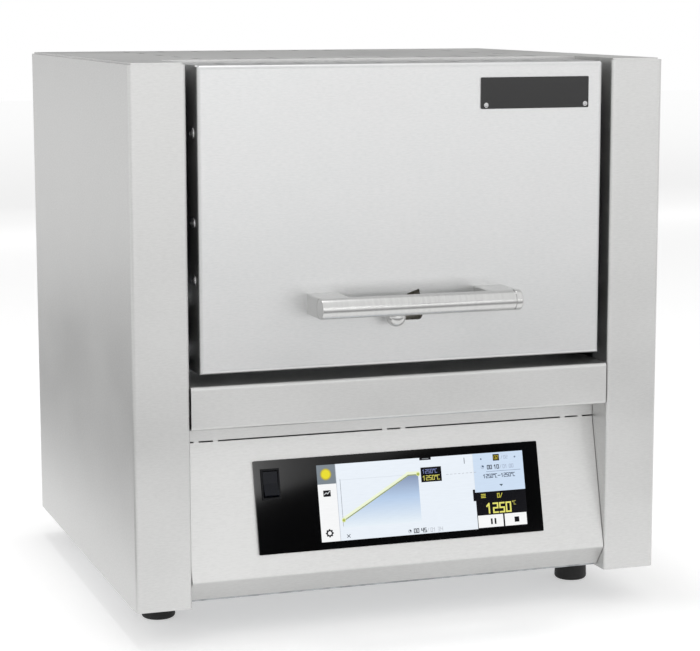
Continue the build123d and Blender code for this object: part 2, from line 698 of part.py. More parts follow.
def door_back_plate():
    """Sheet that closes the back of the door round the insulation."""
    half = DOOR_HALF - SHEET
    plate = block(-half, half, DOOR_BACK - SHEET, DOOR_BACK, DOOR_BOTTOM + SHEET, DOOR_TOP - SHEET)
    rim = block(-half, half, DOOR_BACK - SIDE_FLANGE, DOOR_BACK, DOOR_BOTTOM + SHEET, DOOR_TOP - SHEET)
    rim -= block(-half + SHEET, half - SHEET, DOOR_BACK - 2 * SIDE_FLANGE, DOOR_BACK + 1,
                 DOOR_BOTTOM + 2 * SHEET, DOOR_TOP - 2 * SHEET)
    opening = block(-DOOR_FIBRE_WIDTH / 2, DOOR_FIBRE_WIDTH / 2, DOOR_BACK - 2 * SHEET, DOOR_BACK + SHEET,
                    DOOR_MIDDLE - DOOR_FIBRE_HEIGHT / 2, DOOR_MIDDLE + DOOR_FIBRE_HEIGHT / 2)
    return plate + rim - opening


def door_fibre():
    """Fibre block that seals the chamber, with a slanting air duct and pockets for the screw heads."""
    back = CHAMBER_MOUTH - DOOR_FIBRE_GAP
    fibre = block(-DOOR_FIBRE_WIDTH / 2, DOOR_FIBRE_WIDTH / 2, FRONT + DOOR_FIBRE_START, back,
                  DOOR_MIDDLE - DOOR_FIBRE_HEIGHT / 2, DOOR_MIDDLE + DOOR_FIBRE_HEIGHT / 2)
    x = AIR_WINDOW_LEFT + AIR_WINDOW_WIDTH / 2
    start = (x, FRONT, DOOR_BOTTOM + AIR_WINDOW_RISE + AIR_WINDOW_HEIGHT / 2)
    end = (x, BULKHEAD, CHAMBER_FLOOR_HEIGHT + AIR_DUCT_DIAMETER)
    return fibre - rod(AIR_DUCT_DIAMETER / 2, start, end)


def handle_arm_centres():
    middle = HANDLE_HALF - HANDLE_ARM_WIDTH / 2
    return (-middle, middle)


def handle_bar():
    """Round grip, flush with the left arm, with a turned-down end for the cap."""
    neck = HANDLE_DIAMETER / 2 - 0.6
    return lathe((0, HANDLE_Y, HANDLE_Z), (1, 0, 0), [
        (HANDLE_DIAMETER / 2, -HANDLE_HALF, HANDLE_CAP_SEAM),
        (neck, HANDLE_CAP_SEAM - 1, HANDLE_CAP_SEAM + HANDLE_CAP_GROOVE),
    ])


def handle_cap():
    """Turned cap on the right-hand end of the grip."""
    start = HANDLE_CAP_SEAM + HANDLE_CAP_GROOVE
    end = start + HANDLE_CAP_LENGTH
    cap = rod(HANDLE_DIAMETER / 2, (start, HANDLE_Y, HANDLE_Z), (end, HANDLE_Y, HANDLE_Z))
    return fillet(cap.faces().sort_by(Axis.X)[-1].edges(), 1.2)


def handle_arm(x):
    """Flat arm from the door to the grip, hollowed to seat the round bar."""
    half, radius = HANDLE_ARM_WIDTH / 2, HANDLE_DIAMETER / 2
    arm = block(x - half, x + half, HANDLE_Y, FRONT, HANDLE_Z - radius, HANDLE_Z + radius)
    arm = fillet(arm.edges().filter_by(Axis.Y), 0.5)
    arm -= rod(HANDLE_SCREW / 2, (x, FRONT + 1, HANDLE_Z), (x, FRONT - 12, HANDLE_Z))
    return arm - rod(radius, (x - half - 1, HANDLE_Y, HANDLE_Z), (x + half + 1, HANDLE_Y, HANDLE_Z))


def handle_screws():
    """Screws from inside the door into the arms."""
    return [lathe((x, FRONT + SHEET, HANDLE_Z), (0, 1, 0), [
        (HANDLE_SCREW / 2, -10, 1), (HANDLE_SCREW * 0.85, 0, 3)]) for x in handle_arm_centres()]


def blank_plate():
    """Plain plate on the door's face."""
    low = DOOR_TOP - PLATE_DROP - PLATE_HEIGHT
    middle = Pos(PLATE_LEFT + PLATE_WIDTH / 2, low + PLATE_HEIGHT / 2)
    return extrude(Plane.XZ.offset(-FRONT) * middle * RectangleRounded(PLATE_WIDTH, PLATE_HEIGHT, 0.8),
                   PLATE_THICKNESS)


def plate_rivets():
    """Two dome rivets at the plate's lower corners."""
    low = DOOR_TOP - PLATE_DROP - PLATE_HEIGHT + RIVET_EDGE
    face = FRONT - PLATE_THICKNESS
    places = (PLATE_LEFT + RIVET_EDGE + 1.2, PLATE_LEFT + PLATE_WIDTH - RIVET_EDGE)
    return [dome((x, face, low), (0, -1, 0), RIVET_DIAMETER / 2, 0.8) for x in places]


def dome(origin, axis, radius, height):
    """Button head: a low spherical cap with a short straight edge."""
    edge = height * 0.15
    cap = height - edge
    ball = (radius * radius + cap * cap) / (2 * cap)
    angle = asin(radius / ball) / 2
    middle = (ball * sin(angle), height - ball + ball * cos(angle))
    line = Polyline((0, height), (0, 0), (radius, 0), (radius, edge))
    arc = ThreePointArc((radius, edge), middle, (0, height))
    return turned(line.edges() + [arc.edge()], origin, axis)


def door_side_screws():
    """Button-head screws that hold the door's cover, three each side."""
    screws = []
    for rise in DOOR_SCREW_HEIGHTS:
        y, z = FRONT + DOOR_SCREW_DEPTH, DOOR_BOTTOM + rise
        shank = rod(2.0, (DOOR_HALF - 5, y, z), (DOOR_HALF + 0.2, y, z))
        head = dome((DOOR_HALF, y, z), (1, 0, 0), 3.7, 2.0) - hexagon_cutter((DOOR_HALF + 0.9, y, z), 1.25)
        screws += both_sides(shank + head)
    return screws


def hexagon_cutter(origin, radius):
    plane = Plane(origin=origin, z_dir=(1, 0, 0))
    return extrude(plane * RegularPolygon(radius, 6), 3)


# Air slide

def air_slide_plate():
    """Sliding shutter behind the door's face."""
    low = DOOR_BOTTOM + AIR_WINDOW_RISE - AIR_PLATE_MARGIN
    high = low + AIR_WINDOW_HEIGHT + 2 * AIR_PLATE_MARGIN
    start = FRONT + SHEET + 0.2
    return block(AIR_PLATE_LEFT, AIR_PLATE_RIGHT, start, start + AIR_PLATE_THICKNESS, low, high)


def air_slide_knob():
    """Ball knob on a stem that passes through the door's face."""
    ball_y = FRONT - AIR_KNOB_STANDOFF
    ball = Pos(AIR_KNOB_X, ball_y, knob_height()) * Sphere(AIR_KNOB_DIAMETER / 2)
    stem = rod(AIR_STEM_DIAMETER / 2, (AIR_KNOB_X, FRONT + SHEET + 0.2, knob_height()),
               (AIR_KNOB_X, ball_y, knob_height()))
    return ball + stem


def air_slide_guides():
    """Two channels that hold the shutter's upper and lower edges."""
    start = FRONT + SHEET
    lip = start + 0.2 + AIR_PLATE_THICKNESS + 0.3
    low = DOOR_BOTTOM + AIR_WINDOW_RISE - AIR_PLATE_MARGIN - 0.3
    high = low + AIR_WINDOW_HEIGHT + 2 * AIR_PLATE_MARGIN + 0.6
    left, right = AIR_PLATE_LEFT - 1, AIR_PLATE_RIGHT + AIR_TRAVEL + 1
    rails = []
    for edge, sign in ((low, -1), (high, 1)):
        a, b = sorted((edge, edge + sign * 4))
        c, d = sorted((edge - sign * 3, edge + sign * 4))
        rails.append(block(left, right, start, lip + 0.8, a, b) + block(left, right, lip, lip + 0.8, c, d))
    return rails


# Lift linkage

def door_pivot(rise):
    """Pivot on the door, as (Y, Z)."""
    return FRONT + DOOR_PIVOT_DEPTH, DOOR_BOTTOM + rise


def frame_pivot(rise):
    """Pivot on the side frame, one link length back and up from the door's pivot."""
    y, z = door_pivot(rise)
    angle = radians(LINK_ANGLE)
    return y + LINK_LENGTH * cos(angle), z + LINK_LENGTH * sin(angle)


def tail_pin():
    """Where the counterbalance spring hangs on the upper link, as (Y, Z)."""
    y, z = frame_pivot(UPPER_PIVOT_RISE)
    angle = radians(LINK_ANGLE)
    return y + TAIL_LENGTH * cos(angle), z + TAIL_LENGTH * sin(angle)


def link_shape(start, end, width):
    """Round-ended bar between two points of a (Y, Z) sketch."""
    dy, dz = end[0] - start[0], end[1] - start[1]
    bar = SlotCenterToCenter(hypot(dy, dz), width, rotation=degrees(atan2(dz, dy)))
    return Pos((start[0] + end[0]) / 2, (start[1] + end[1]) / 2) * bar


def upper_link():
    """Right-hand upper link with a tail behind its frame pivot and a pin for the spring."""
    near, far, tail = frame_pivot(UPPER_PIVOT_RISE), door_pivot(UPPER_PIVOT_RISE), tail_pin()
    shape = link_shape(near, far, LINK_WIDTH) + link_shape(near, tail, LINK_WIDTH * 0.8)
    for y, z in (near, far):
        shape -= Pos(y, z) * Circle(PIVOT_DIAMETER / 2 + RUNNING_FIT)
    plate = yz_plate(shape, LINK_INNER, LINK_THICKNESS)
    return plate + rod(SPRING_PIN / 2, (LINK_OUTER - 1, *tail), (FRAME_INSIDE - 1, *tail))


def lower_link():
    """Right-hand lower link. Its door pivot is the one left with extra clearance."""
    near, far = frame_pivot(LOWER_PIVOT_RISE), door_pivot(LOWER_PIVOT_RISE)
    shape = link_shape(near, far, LINK_WIDTH)
    shape -= Pos(*near) * Circle(PIVOT_DIAMETER / 2 + RUNNING_FIT)
    shape -= Pos(*far) * Circle(PIVOT_DIAMETER / 2 + OPEN_PIVOT_FIT)
    return yz_plate(shape, LINK_INNER, LINK_THICKNESS)


def door_pins():
    """Shouldered pins through the door's sides, two on each side."""
    pins = []
    for rise in (UPPER_PIVOT_RISE, LOWER_PIVOT_RISE):
        y, z = door_pivot(rise)
        pin = lathe((0, y, z), (1, 0, 0), [
            (PIVOT_DIAMETER / 2, DOOR_HALF - SHEET - BRACKET_SHEET, LINK_OUTER + LINK_SIDE_PLAY + 0.1),
            (PIVOT_HEAD / 2, DOOR_HALF, LINK_INNER - LINK_SIDE_PLAY),
            (PIVOT_HEAD / 2, LINK_OUTER + LINK_SIDE_PLAY, LINK_OUTER + LINK_SIDE_PLAY + PIVOT_HEAD_HEIGHT)])
        pins += both_sides(pin)
    return pins


def frame_pins():
    """Shouldered pins on the side frames, two on each side."""
    pins = []
    for rise in (UPPER_PIVOT_RISE, LOWER_PIVOT_RISE):
        y, z = frame_pivot(rise)
        pin = lathe((0, y, z), (1, 0, 0), [
            (PIVOT_HEAD / 2, LINK_INNER - LINK_SIDE_PLAY - PIVOT_HEAD_HEIGHT, LINK_INNER - LINK_SIDE_PLAY),
            (PIVOT_DIAMETER / 2, LINK_INNER - LINK_SIDE_PLAY - 0.1, FRAME_INSIDE + FRAME_SHEET + 3),
            (PIVOT_BOSS / 2, LINK_OUTER + LINK_SIDE_PLAY, FRAME_INSIDE)])
        pins += both_sides(pin)
    return pins


def door_bracket():
    """Plate inside the door's side that carries its two pivots."""
    inside = DOOR_HALF - SHEET
    y = FRONT + DOOR_PIVOT_DEPTH
    low, high = DOOR_BOTTOM + SHEET, DOOR_BOTTOM + UPPER_PIVOT_RISE + LINK_WIDTH
    plate = block(inside - BRACKET_SHEET, inside, y - LINK_WIDTH, DOOR_BACK - SIDE_FLANGE - 0.2, low, high)
    plate += block(inside - LINK_WIDTH, inside, y - LINK_WIDTH, y - LINK_WIDTH + BRACKET_SHEET, low, high)
    for rise in (UPPER_PIVOT_RISE, LOWER_PIVOT_RISE):
        py, pz = door_pivot(rise)
        plate -= rod(PIVOT_DIAMETER / 2, (inside - 2 * BRACKET_SHEET, py, pz), (inside + 1, py, pz))
    return plate


def spring():
    """Close-wound tension spring with an eye at each end, from the anchor up to the upper link's tail."""
    y, top = tail_pin()
    x = (LINK_OUTER + FRAME_INSIDE) / 2
    bottom = SPRING_ANCHOR_HEIGHT
    eye = SPRING_PIN / 2 + RUNNING_FIT * 4 + SPRING_WIRE / 2
    body_low = (top + bottom - SPRING_BODY) / 2
    pitch = SPRING_BODY / SPRING_COILS
    valley = SPRING_DIAMETER / 2 - SPRING_COIL_RELIEF
    outline = [(0, 0)]
    for i in range(SPRING_COILS):
        outline += [(valley, pitch * i), (SPRING_DIAMETER / 2, pitch * (i + 0.5))]
    outline += [(valley, SPRING_BODY), (0, SPRING_BODY)]
    whole = turned(Polyline(*outline, close=True), (x, y, body_low), (0, 0, 1))
    for z, end in ((top, body_low + SPRING_BODY), (bottom, body_low)):
        ring = Pos(x, y, z) * Rot(0, 90, 0) * Torus(eye, SPRING_WIRE / 2)
        away = -eye if z > end else eye
        whole += ring + rod(SPRING_WIRE / 2, (x, y, z + away), (x, y, end + (1 if z < end else -1)))
    return whole


def spring_anchors():
    """Pins on the side frames that hold the springs' lower eyes."""
    y = tail_pin()[0]
    pin = lathe((0, y, SPRING_ANCHOR_HEIGHT), (1, 0, 0), [
        (SPRING_PIN / 2, LINK_OUTER, FRAME_INSIDE + 0.5), (SPRING_PIN / 2 + 2, LINK_OUTER - 1.5, LINK_OUTER)])
    return both_sides(pin + rod(SPRING_PIN / 2, (FRAME_INSIDE, y, SPRING_ANCHOR_HEIGHT),
                                (FRAME_INSIDE + FRAME_SHEET, y, SPRING_ANCHOR_HEIGHT)))


def link_stops():
    """Rubber-sleeved pins under the lower links, where the closed door comes to rest."""
    y, z = frame_pivot(LOWER_PIVOT_RISE)
    angle = radians(LINK_ANGLE)
    along, aside = 70.0, LINK_WIDTH / 2 + PIVOT_DIAMETER / 2 + OPEN_PIVOT_FIT
    sy = y - along * cos(angle) + aside * sin(angle)
    sz = z - along * sin(angle) - aside * cos(angle)
    return both_sides(rod(PIVOT_DIAMETER / 2, (LINK_INNER, sy, sz), (FRAME_INSIDE + FRAME_SHEET, sy, sz)))


def side_frame():
    """Right-hand inner frame plate with a foot flange, carrying pivots, stops and the shelf."""
    y0, y1 = FRONT + FRAME_START, FRONT + FRAME_START + FRAME_DEPTH
    x1 = FRAME_INSIDE + FRAME_SHEET
    plate = block(FRAME_INSIDE, x1, y0, y1, DECK, FRAME_TOP)
    plate += block(FRAME_INSIDE, x1 + FRAME_FOOT, y0, y1, DECK, DECK + FRAME_SHEET)
    front, back = y0 + FRAME_WINDOW_SIDE, y1 - FRAME_WINDOW_SIDE
    low, high = DECK + FRAME_WINDOW_END, SPRING_ANCHOR_HEIGHT - FRAME_WINDOW_END
    window = FilletPolyline((front, low), (back, low), (back, high), (front, high),
                            radius=FRAME_WINDOW_CORNER, close=True)
    plate -= yz_plate(make_face(window), FRAME_INSIDE - 1, FRAME_SHEET + 2)
    for rise in (UPPER_PIVOT_RISE, LOWER_PIVOT_RISE):
        y, z = frame_pivot(rise)
        plate -= rod(PIVOT_DIAMETER / 2, (FRAME_INSIDE - 1, y, z), (x1 + 1, y, z))
    y = tail_pin()[0]
    plate -= rod(SPRING_PIN / 2, (FRAME_INSIDE - 1, y, SPRING_ANCHOR_HEIGHT),
                 (x1 + 1, y, SPRING_ANCHOR_HEIGHT))
    for x, y in foot_places():
        plate -= block(FRAME_INSIDE - 1, x1 + FRAME_FOOT + 1, y - 2 * FOOT_SCREW, y + 2 * FOOT_SCREW,
                       DECK - 1, DECK + 2 * FOOT_SCREW)
    stop = link_stops()[0].bounding_box().center()
    return plate - rod(PIVOT_DIAMETER / 2, (FRAME_INSIDE - 1, stop.Y, stop.Z), (x1 + 1, stop.Y, stop.Z))


# Chamber

def bulkhead():
    """Front sheet behind the door: wide below, narrow between the links above, open at the collar."""
    wide = block(-FRAME_INSIDE, FRAME_INSIDE, BULKHEAD, BULKHEAD + SHEET, DECK, LEDGE_TOP + 2)
    tall = block(-SHELL_HALF - 2, SHELL_HALF + 2, BULKHEAD, BULKHEAD + SHEET, DECK, TOP - 4)
    opening = block(-COLLAR_WIDTH / 2, COLLAR_WIDTH / 2, BULKHEAD - 1, BULKHEAD + SHEET + 1,
                    DOOR_MIDDLE - COLLAR_HEIGHT / 2, DOOR_MIDDLE + COLLAR_HEIGHT / 2)
    cable_way = block(-CABLE_WAY, CABLE_WAY, BULKHEAD - 1, BULKHEAD + SHEET + 1,
                      DECK + CABLE_WAY / 3, LEDGE_BOTTOM - CABLE_WAY / 2)
    return wide + tall - opening - cable_way


def shelf():
    """Plate between the side frames that carries the chamber's shell, with turned-down ends."""
    y0, y1 = BULKHEAD + SHEET, FRONT + FRAME_START + FRAME_DEPTH
    top = block(-FRAME_INSIDE, FRAME_INSIDE, y0, y1, SHELL_BOTTOM - SHEET, SHELL_BOTTOM)
    ends = block(FRAME_INSIDE - SHEET, FRAME_INSIDE, y0 + 20, y1, SHELL_BOTTOM - SIDE_FLANGE, SHELL_BOTTOM)
    y = tail_pin()[0]
    way = block(LINK_INNER - 1, FRAME_INSIDE + 1, y - SPRING_DIAMETER, y + SPRING_DIAMETER,
                SHELL_BOTTOM - 2 * SIDE_FLANGE, SHELL_TOP)
    return top + ends + mirrored(ends) - way - mirrored(way)


def inner_shell():
    """Sheet box round the insulation, open at the front."""
    y0 = BULKHEAD + SHEET
    shell = block(-SHELL_HALF, SHELL_HALF, y0, SHELL_BACK, SHELL_BOTTOM, SHELL_TOP)
    shell -= block(-SHELL_HALF + SHELL_SHEET, SHELL_HALF - SHELL_SHEET, y0 - 1, SHELL_BACK - SHELL_SHEET,
                   SHELL_BOTTOM + SHELL_SHEET, SHELL_TOP - SHELL_SHEET)
    return shell - exhaust_way(EXHAUST_OUTSIDE) - thermocouple_way()


def exhaust_way(diameter):
    start, end = (EXHAUST_X, CHAMBER_END - 5, EXHAUST_HEIGHT), (EXHAUST_X, BACK + 5, EXHAUST_HEIGHT)
    return rod(diameter / 2, start, end)


def thermocouple_way():
    return rod(THERMOCOUPLE_DIAMETER / 2, (0, CHAMBER_END - 5, THERMOCOUPLE_HEIGHT),
               (0, SHELL_BACK + 5, THERMOCOUPLE_HEIGHT))


def chamber_collar():
    """Fibre frame round the chamber's mouth that the door seals on."""
    step = BULKHEAD + SHEET
    inside = SHELL_HALF - SHELL_SHEET
    low, high = SHELL_BOTTOM + SHELL_SHEET, SHELL_TOP - SHELL_SHEET
    nose = block(-COLLAR_WIDTH / 2, COLLAR_WIDTH / 2, CHAMBER_MOUTH, step + 1,
                 DOOR_MIDDLE - COLLAR_HEIGHT / 2, DOOR_MIDDLE + COLLAR_HEIGHT / 2)
    ring = block(-inside, inside, step, CHAMBER_MOUTH + COLLAR_DEPTH, low, high)
    mouth = block(-CHAMBER_WIDTH / 2, CHAMBER_WIDTH / 2, CHAMBER_MOUTH - 1, BACK,
                  CHAMBER_FLOOR_HEIGHT, CHAMBER_ROOF)
    return nose + ring - mouth


def insulation():
    """Fibre blocks behind the collar, by name: floor, roof, two sides and the rear."""
    y0, y1 = CHAMBER_MOUTH + COLLAR_DEPTH, SHELL_BACK - SHELL_SHEET
    inside = SHELL_HALF - SHELL_SHEET
    low, high = SHELL_BOTTOM + SHELL_SHEET, SHELL_TOP - SHELL_SHEET
    bed = CHAMBER_FLOOR_HEIGHT - FLOOR_TILE
    wall = CHAMBER_WIDTH / 2 + HEATER_THICKNESS
    side = block(wall, inside, y0, y1, bed, CHAMBER_ROOF)
    rear = block(-wall, wall, CHAMBER_END, y1, bed, CHAMBER_ROOF) - exhaust_way(EXHAUST_OUTSIDE)
    return {
        "insulation_floor": block(-inside, inside, y0, y1, low, bed),
        "insulation_roof": block(-inside, inside, y0, y1, CHAMBER_ROOF, high),
        "insulation_sides": both_sides(side),
        "insulation_rear": rear - thermocouple_way(),
    }


def groove_heights():
    """Heights of the heating wires, evenly spaced up the chamber's sides."""
    pitch = CHAMBER_HEIGHT / HEATER_GROOVES
    return [CHAMBER_FLOOR_HEIGHT + pitch * (i + 0.5) for i in range(HEATER_GROOVES)]


def heating_plate():
    """Right-hand ceramic plate with round grooves that hold the heating wire."""
    inside, y0 = CHAMBER_WIDTH / 2, CHAMBER_MOUTH + COLLAR_DEPTH
    bed = CHAMBER_FLOOR_HEIGHT - FLOOR_TILE
    plate = block(inside, inside + HEATER_THICKNESS, y0, CHAMBER_END, bed, CHAMBER_ROOF)
    for z in groove_heights():
        plate -= rod(HEATER_GROOVE_RADIUS, (inside, y0 - 1, z), (inside, CHAMBER_END + 1, z))
    return plate


def heating_wires():
    """Straight runs of the heating coils, lying in the grooves."""
    y0 = CHAMBER_MOUTH + COLLAR_DEPTH
    x = CHAMBER_WIDTH / 2 + HEATER_GROOVE_RADIUS - HEATER_WIRE_DIAMETER / 2
    runs = []
    for z in groove_heights():
        runs += both_sides(rod(HEATER_WIRE_DIAMETER / 2, (x, y0 + 2, z), (x, CHAMBER_END - 2, z)))
    return runs


def floor_tile():
    """Ceramic tile on the chamber's floor, a little smaller than the space between the walls."""
    wall = CHAMBER_WIDTH / 2 - FLOOR_TILE_GAP
    return block(-wall, wall, CHAMBER_MOUTH + COLLAR_DEPTH + FLOOR_TILE_GAP, CHAMBER_END - FLOOR_TILE_GAP,
                 CHAMBER_FLOOR_HEIGHT - FLOOR_TILE, CHAMBER_FLOOR_HEIGHT)


def thermocouple():
    """Ceramic sheath from the chamber to a connection head behind the shell."""
    return lathe((0, CHAMBER_END, THERMOCOUPLE_HEIGHT), (0, 1, 0), [
        (THERMOCOUPLE_DIAMETER / 2, -THERMOCOUPLE_REACH, SHELL_BACK - CHAMBER_END + 6),
        (THERMOCOUPLE_DIAMETER, SHELL_BACK - CHAMBER_END, SHELL_BACK - CHAMBER_END + 22)])


def exhaust_tube():
    """Exhaust pipe from the chamber out through the back, with a wider spigot outside."""
    length = BACK - CHAMBER_END
    pipe = lathe((EXHAUST_X, CHAMBER_END, EXHAUST_HEIGHT), (0, 1, 0), [
        (EXHAUST_OUTSIDE / 2, 0, length + EXHAUST_FLANGE_THICKNESS),
        (SPIGOT_DIAMETER / 2, length + EXHAUST_FLANGE_THICKNESS, length + SPIGOT_REACH)])
    return pipe - rod(EXHAUST_BORE / 2, (EXHAUST_X, CHAMBER_END - 1, EXHAUST_HEIGHT),
                      (EXHAUST_X, BACK + SPIGOT_REACH + 1, EXHAUST_HEIGHT))


def exhaust_flange():
    """Ring on the rear panel round the exhaust pipe."""
    ring = rod(EXHAUST_FLANGE / 2, (EXHAUST_X, BACK, EXHAUST_HEIGHT),
               (EXHAUST_X, BACK + EXHAUST_FLANGE_THICKNESS, EXHAUST_HEIGHT))
    return ring - exhaust_way(EXHAUST_OUTSIDE)


# Rear fittings and electronics

def fan_screw_places():
    reach = FAN_SIZE / 2 - 5
    return [(FAN_X + sx * reach, FAN_HEIGHT + sz * reach) for sx in (-1, 1) for sz in (-1, 1)]


def fan_frame():
    """Square fan housing with a round duct, a motor boss and four struts."""
    y1 = BACK - SHEET
    y0 = y1 - FAN_DEPTH
    frame = block(FAN_X - FAN_SIZE / 2, FAN_X + FAN_SIZE / 2, y0, y1,
                  FAN_HEIGHT - FAN_SIZE / 2, FAN_HEIGHT + FAN_SIZE / 2)
    frame -= rod(FAN_SIZE / 2 - 3, (FAN_X, y0 - 1, FAN_HEIGHT), (FAN_X, y1 + 1, FAN_HEIGHT))
    for angle in (0, 90):
        bar = Box(FAN_SIZE - 4, 3, 5)
        frame += Pos(FAN_X, y0 + 1.5, FAN_HEIGHT) * Rot(0, angle + 45, 0) * bar
    frame += rod(FAN_HUB / 2, (FAN_X, y0, FAN_HEIGHT), (FAN_X, y0 + 5, FAN_HEIGHT))
    frame -= rod(FAN_AXLE / 2 + RUNNING_FIT, (FAN_X, y0 - 1, FAN_HEIGHT), (FAN_X, y1, FAN_HEIGHT))
    for x, z in fan_screw_places():
        frame -= rod(2.1, (x, y0 - 1, z), (x, y1 + 1, z))
    return frame



def fan_rotor():
    """Hub with pitched blades on a steel axle."""
    y0 = BACK - SHEET - FAN_DEPTH
    hub_start, hub_end = y0 + 5.6, BACK - SHEET - 2.5
    rotor = rod(FAN_HUB / 2, (FAN_X, hub_start, FAN_HEIGHT), (FAN_X, hub_end, FAN_HEIGHT))
    tip = FAN_SIZE / 2 - 3 - FAN_TIP_GAP
    span = tip - FAN_HUB / 2 + 3
    for i in range(FAN_BLADES):
        blade = Rot(0, 0, 38) * Box(20, 1.6, span)
        blade = Pos(0, 0, FAN_HUB / 2 - 3 + span / 2) * blade
        blade = Rot(0, 360 / FAN_BLADES * i, 0) * blade
        rotor += Pos(FAN_X, (hub_start + hub_end) / 2, FAN_HEIGHT) * blade
    ring = rod(tip, (FAN_X, hub_start, FAN_HEIGHT), (FAN_X, hub_end, FAN_HEIGHT))
    rotor = rotor & ring
    return rotor + rod(FAN_AXLE / 2, (FAN_X, y0 + 0.5, FAN_HEIGHT), (FAN_X, hub_end, FAN_HEIGHT))


def mains_inlet():
    """Appliance inlet with a flange outside the panel and three blades in its recess."""
    half_w, half_h = INLET_WIDTH / 2, INLET_HEIGHT / 2
    wide, high = half_w + INLET_EARS, half_h + INLET_BROW
    flange = block(INLET_X - wide, INLET_X + wide, BACK, BACK + INLET_FLANGE,
                   INLET_CENTRE - high, INLET_CENTRE + high)
    flange = fillet(flange.edges().filter_by(Axis.Y), 3)
    body = block(INLET_X - half_w, INLET_X + half_w, BACK - INLET_DEPTH, BACK + INLET_FLANGE / 2,
                 INLET_CENTRE - half_h, INLET_CENTRE + half_h)
    pocket = block(INLET_X - half_w + INLET_WALL, INLET_X + half_w - INLET_WALL,
                   BACK - INLET_POCKET, BACK + 2 * INLET_FLANGE,
                   INLET_CENTRE - half_h + INLET_WALL, INLET_CENTRE + half_h - INLET_WALL)
    inlet = flange + body - pocket
    pin_w, pin_h = INLET_PIN
    for x, z in INLET_PINS:
        inlet += block(INLET_X + x - pin_w / 2, INLET_X + x + pin_w / 2,
                       BACK - INLET_POCKET - 1, BACK - INLET_POCKET + INLET_PIN_REACH,
                       INLET_CENTRE + z - pin_h / 2, INLET_CENTRE + z + pin_h / 2)
    for side in (-1, 1):
        x = INLET_X + side * (half_w + INLET_EARS / 2 + INLET_SCREW / 4)
        inlet -= rod(INLET_SCREW / 2, (x, BACK - 1, INLET_CENTRE), (x, BACK + 2 * INLET_FLANGE, INLET_CENTRE))
    return inlet


def heat_sink():
    """Finned aluminium block on the floor plate: long outer fins, and short ones behind the relay."""
    y0, y1 = FRONT + SINK_START, FRONT + SINK_START + SINK_LENGTH
    sink = block(SINK_LEFT, SINK_LEFT + SINK_WIDTH, y0, y1, DECK, DECK + SINK_BASE)
    pitch = (SINK_WIDTH - 2 * SINK_FIN_EDGE - SINK_FIN) / (SINK_FINS - 1)
    for i in range(SINK_FINS):
        x = SINK_LEFT + SINK_FIN_EDGE + pitch * i
        start = y0 if i in (0, SINK_FINS - 1) else y1 - SINK_SHORT_FIN
        sink += block(x, x + SINK_FIN, start, y1, DECK + SINK_BASE - 1, DECK + SINK_HEIGHT)
    return sink


def solid_state_relay():
    """Relay bolted to the heat sink, between its outer fins."""
    left = SINK_LEFT + (SINK_WIDTH - RELAY_WIDTH) / 2
    y0, z0 = FRONT + SINK_START + RELAY_GAP, DECK + SINK_BASE
    body = block(left, left + RELAY_WIDTH, y0, y0 + RELAY_LENGTH, z0, z0 + RELAY_HEIGHT)
    return fillet(body.edges().filter_by(Axis.Z), RELAY_CORNER)


def terminal_block():
    """Row of screw terminals on a rail on the floor plate."""
    edge_x, edge_y = TERMINAL_EDGE
    x0, y0 = TERMINAL_LEFT, FRONT + TERMINAL_START
    span = 2 * edge_x + TERMINAL_PITCH * (TERMINAL_COUNT - 1) + TERMINAL_WIDTH
    row = block(x0, x0 + span, y0, y0 + TERMINAL_LENGTH + 2 * edge_y, DECK, DECK + TERMINAL_RAIL)
    for i in range(TERMINAL_COUNT):
        x = x0 + edge_x + TERMINAL_PITCH * i
        row += block(x, x + TERMINAL_WIDTH, y0 + edge_y, y0 + edge_y + TERMINAL_LENGTH,
                     DECK + TERMINAL_RAIL - 1, DECK + TERMINAL_HEIGHT)
    return row


# Feet and screws

def foot_places():
    x = HALF - FOOT_IN
    return [(sx * x, y) for y in (FRONT + FOOT_BACK, BACK - FOOT_IN) for sx in (-1, 1)]


def foot(x, y):
    """Rubber foot with a rounded tread and a recess for its screw."""
    height = FLOOR
    outline = [
        (0, 0), (FOOT_DIAMETER / 2 - FOOT_ROUND, 0), (FOOT_DIAMETER / 2, FOOT_ROUND),
        (FOOT_TOP_DIAMETER / 2 + 1, height), (0, height)]
    body = turned(Polyline(*outline, close=True), (x, y, 0), (0, 0, 1))
    body -= rod(FOOT_SCREW, (x, y, -1), (x, y, FOOT_RECESS))
    return body - rod(FOOT_SCREW / 2, (x, y, 0), (x, y, height + 1))


def foot_screw(x, y):
    """Screw up through a foot, with its nut on the base plate."""
    screw = lathe((x, y, 0), (0, 0, 1), [
        (FOOT_SCREW / 2, FOOT_RECESS - 3.5, DECK + FOOT_SCREW),
        (FOOT_SCREW - 0.5, FOOT_RECESS - 3.5, FOOT_RECESS)])
    return screw + Pos(x, y, DECK) * extrude(RegularPolygon(FOOT_SCREW * 0.95, 6), FOOT_SCREW * 0.8)


def rear_screws():
    """Button-head screws round the rear panel, and the fan's four."""
    places = [(sx * (HALF - SIDE_FLANGE / 2 - SHEET), z) for sx in (-1, 1)
              for z in (BOTTOM + 20, BOTTOM + CASE_HEIGHT / 3, BOTTOM + CASE_HEIGHT * 2 / 3, TOP - 6)]
    return [dome((x, BACK, z), (0, 1, 0), 3.7, 2.0) for x, z in places + fan_screw_places()]


os.makedirs("parts", exist_ok=True)

panel = side_panel()
save("side_panel_right", panel)
save("side_panel_left", mirrored(panel))
save("top_cover", top_cover())
save("base_plate", base_plate())
save("rear_panel", rear_panel())
save("front_ledge", front_ledge())
save("control_panel", control_panel())
save("front_glass", front_glass())
save("display_screen", display_screen())
save("controller_board", controller_board())
save("switch_housing", switch_housing())
save("rocker", rocker())

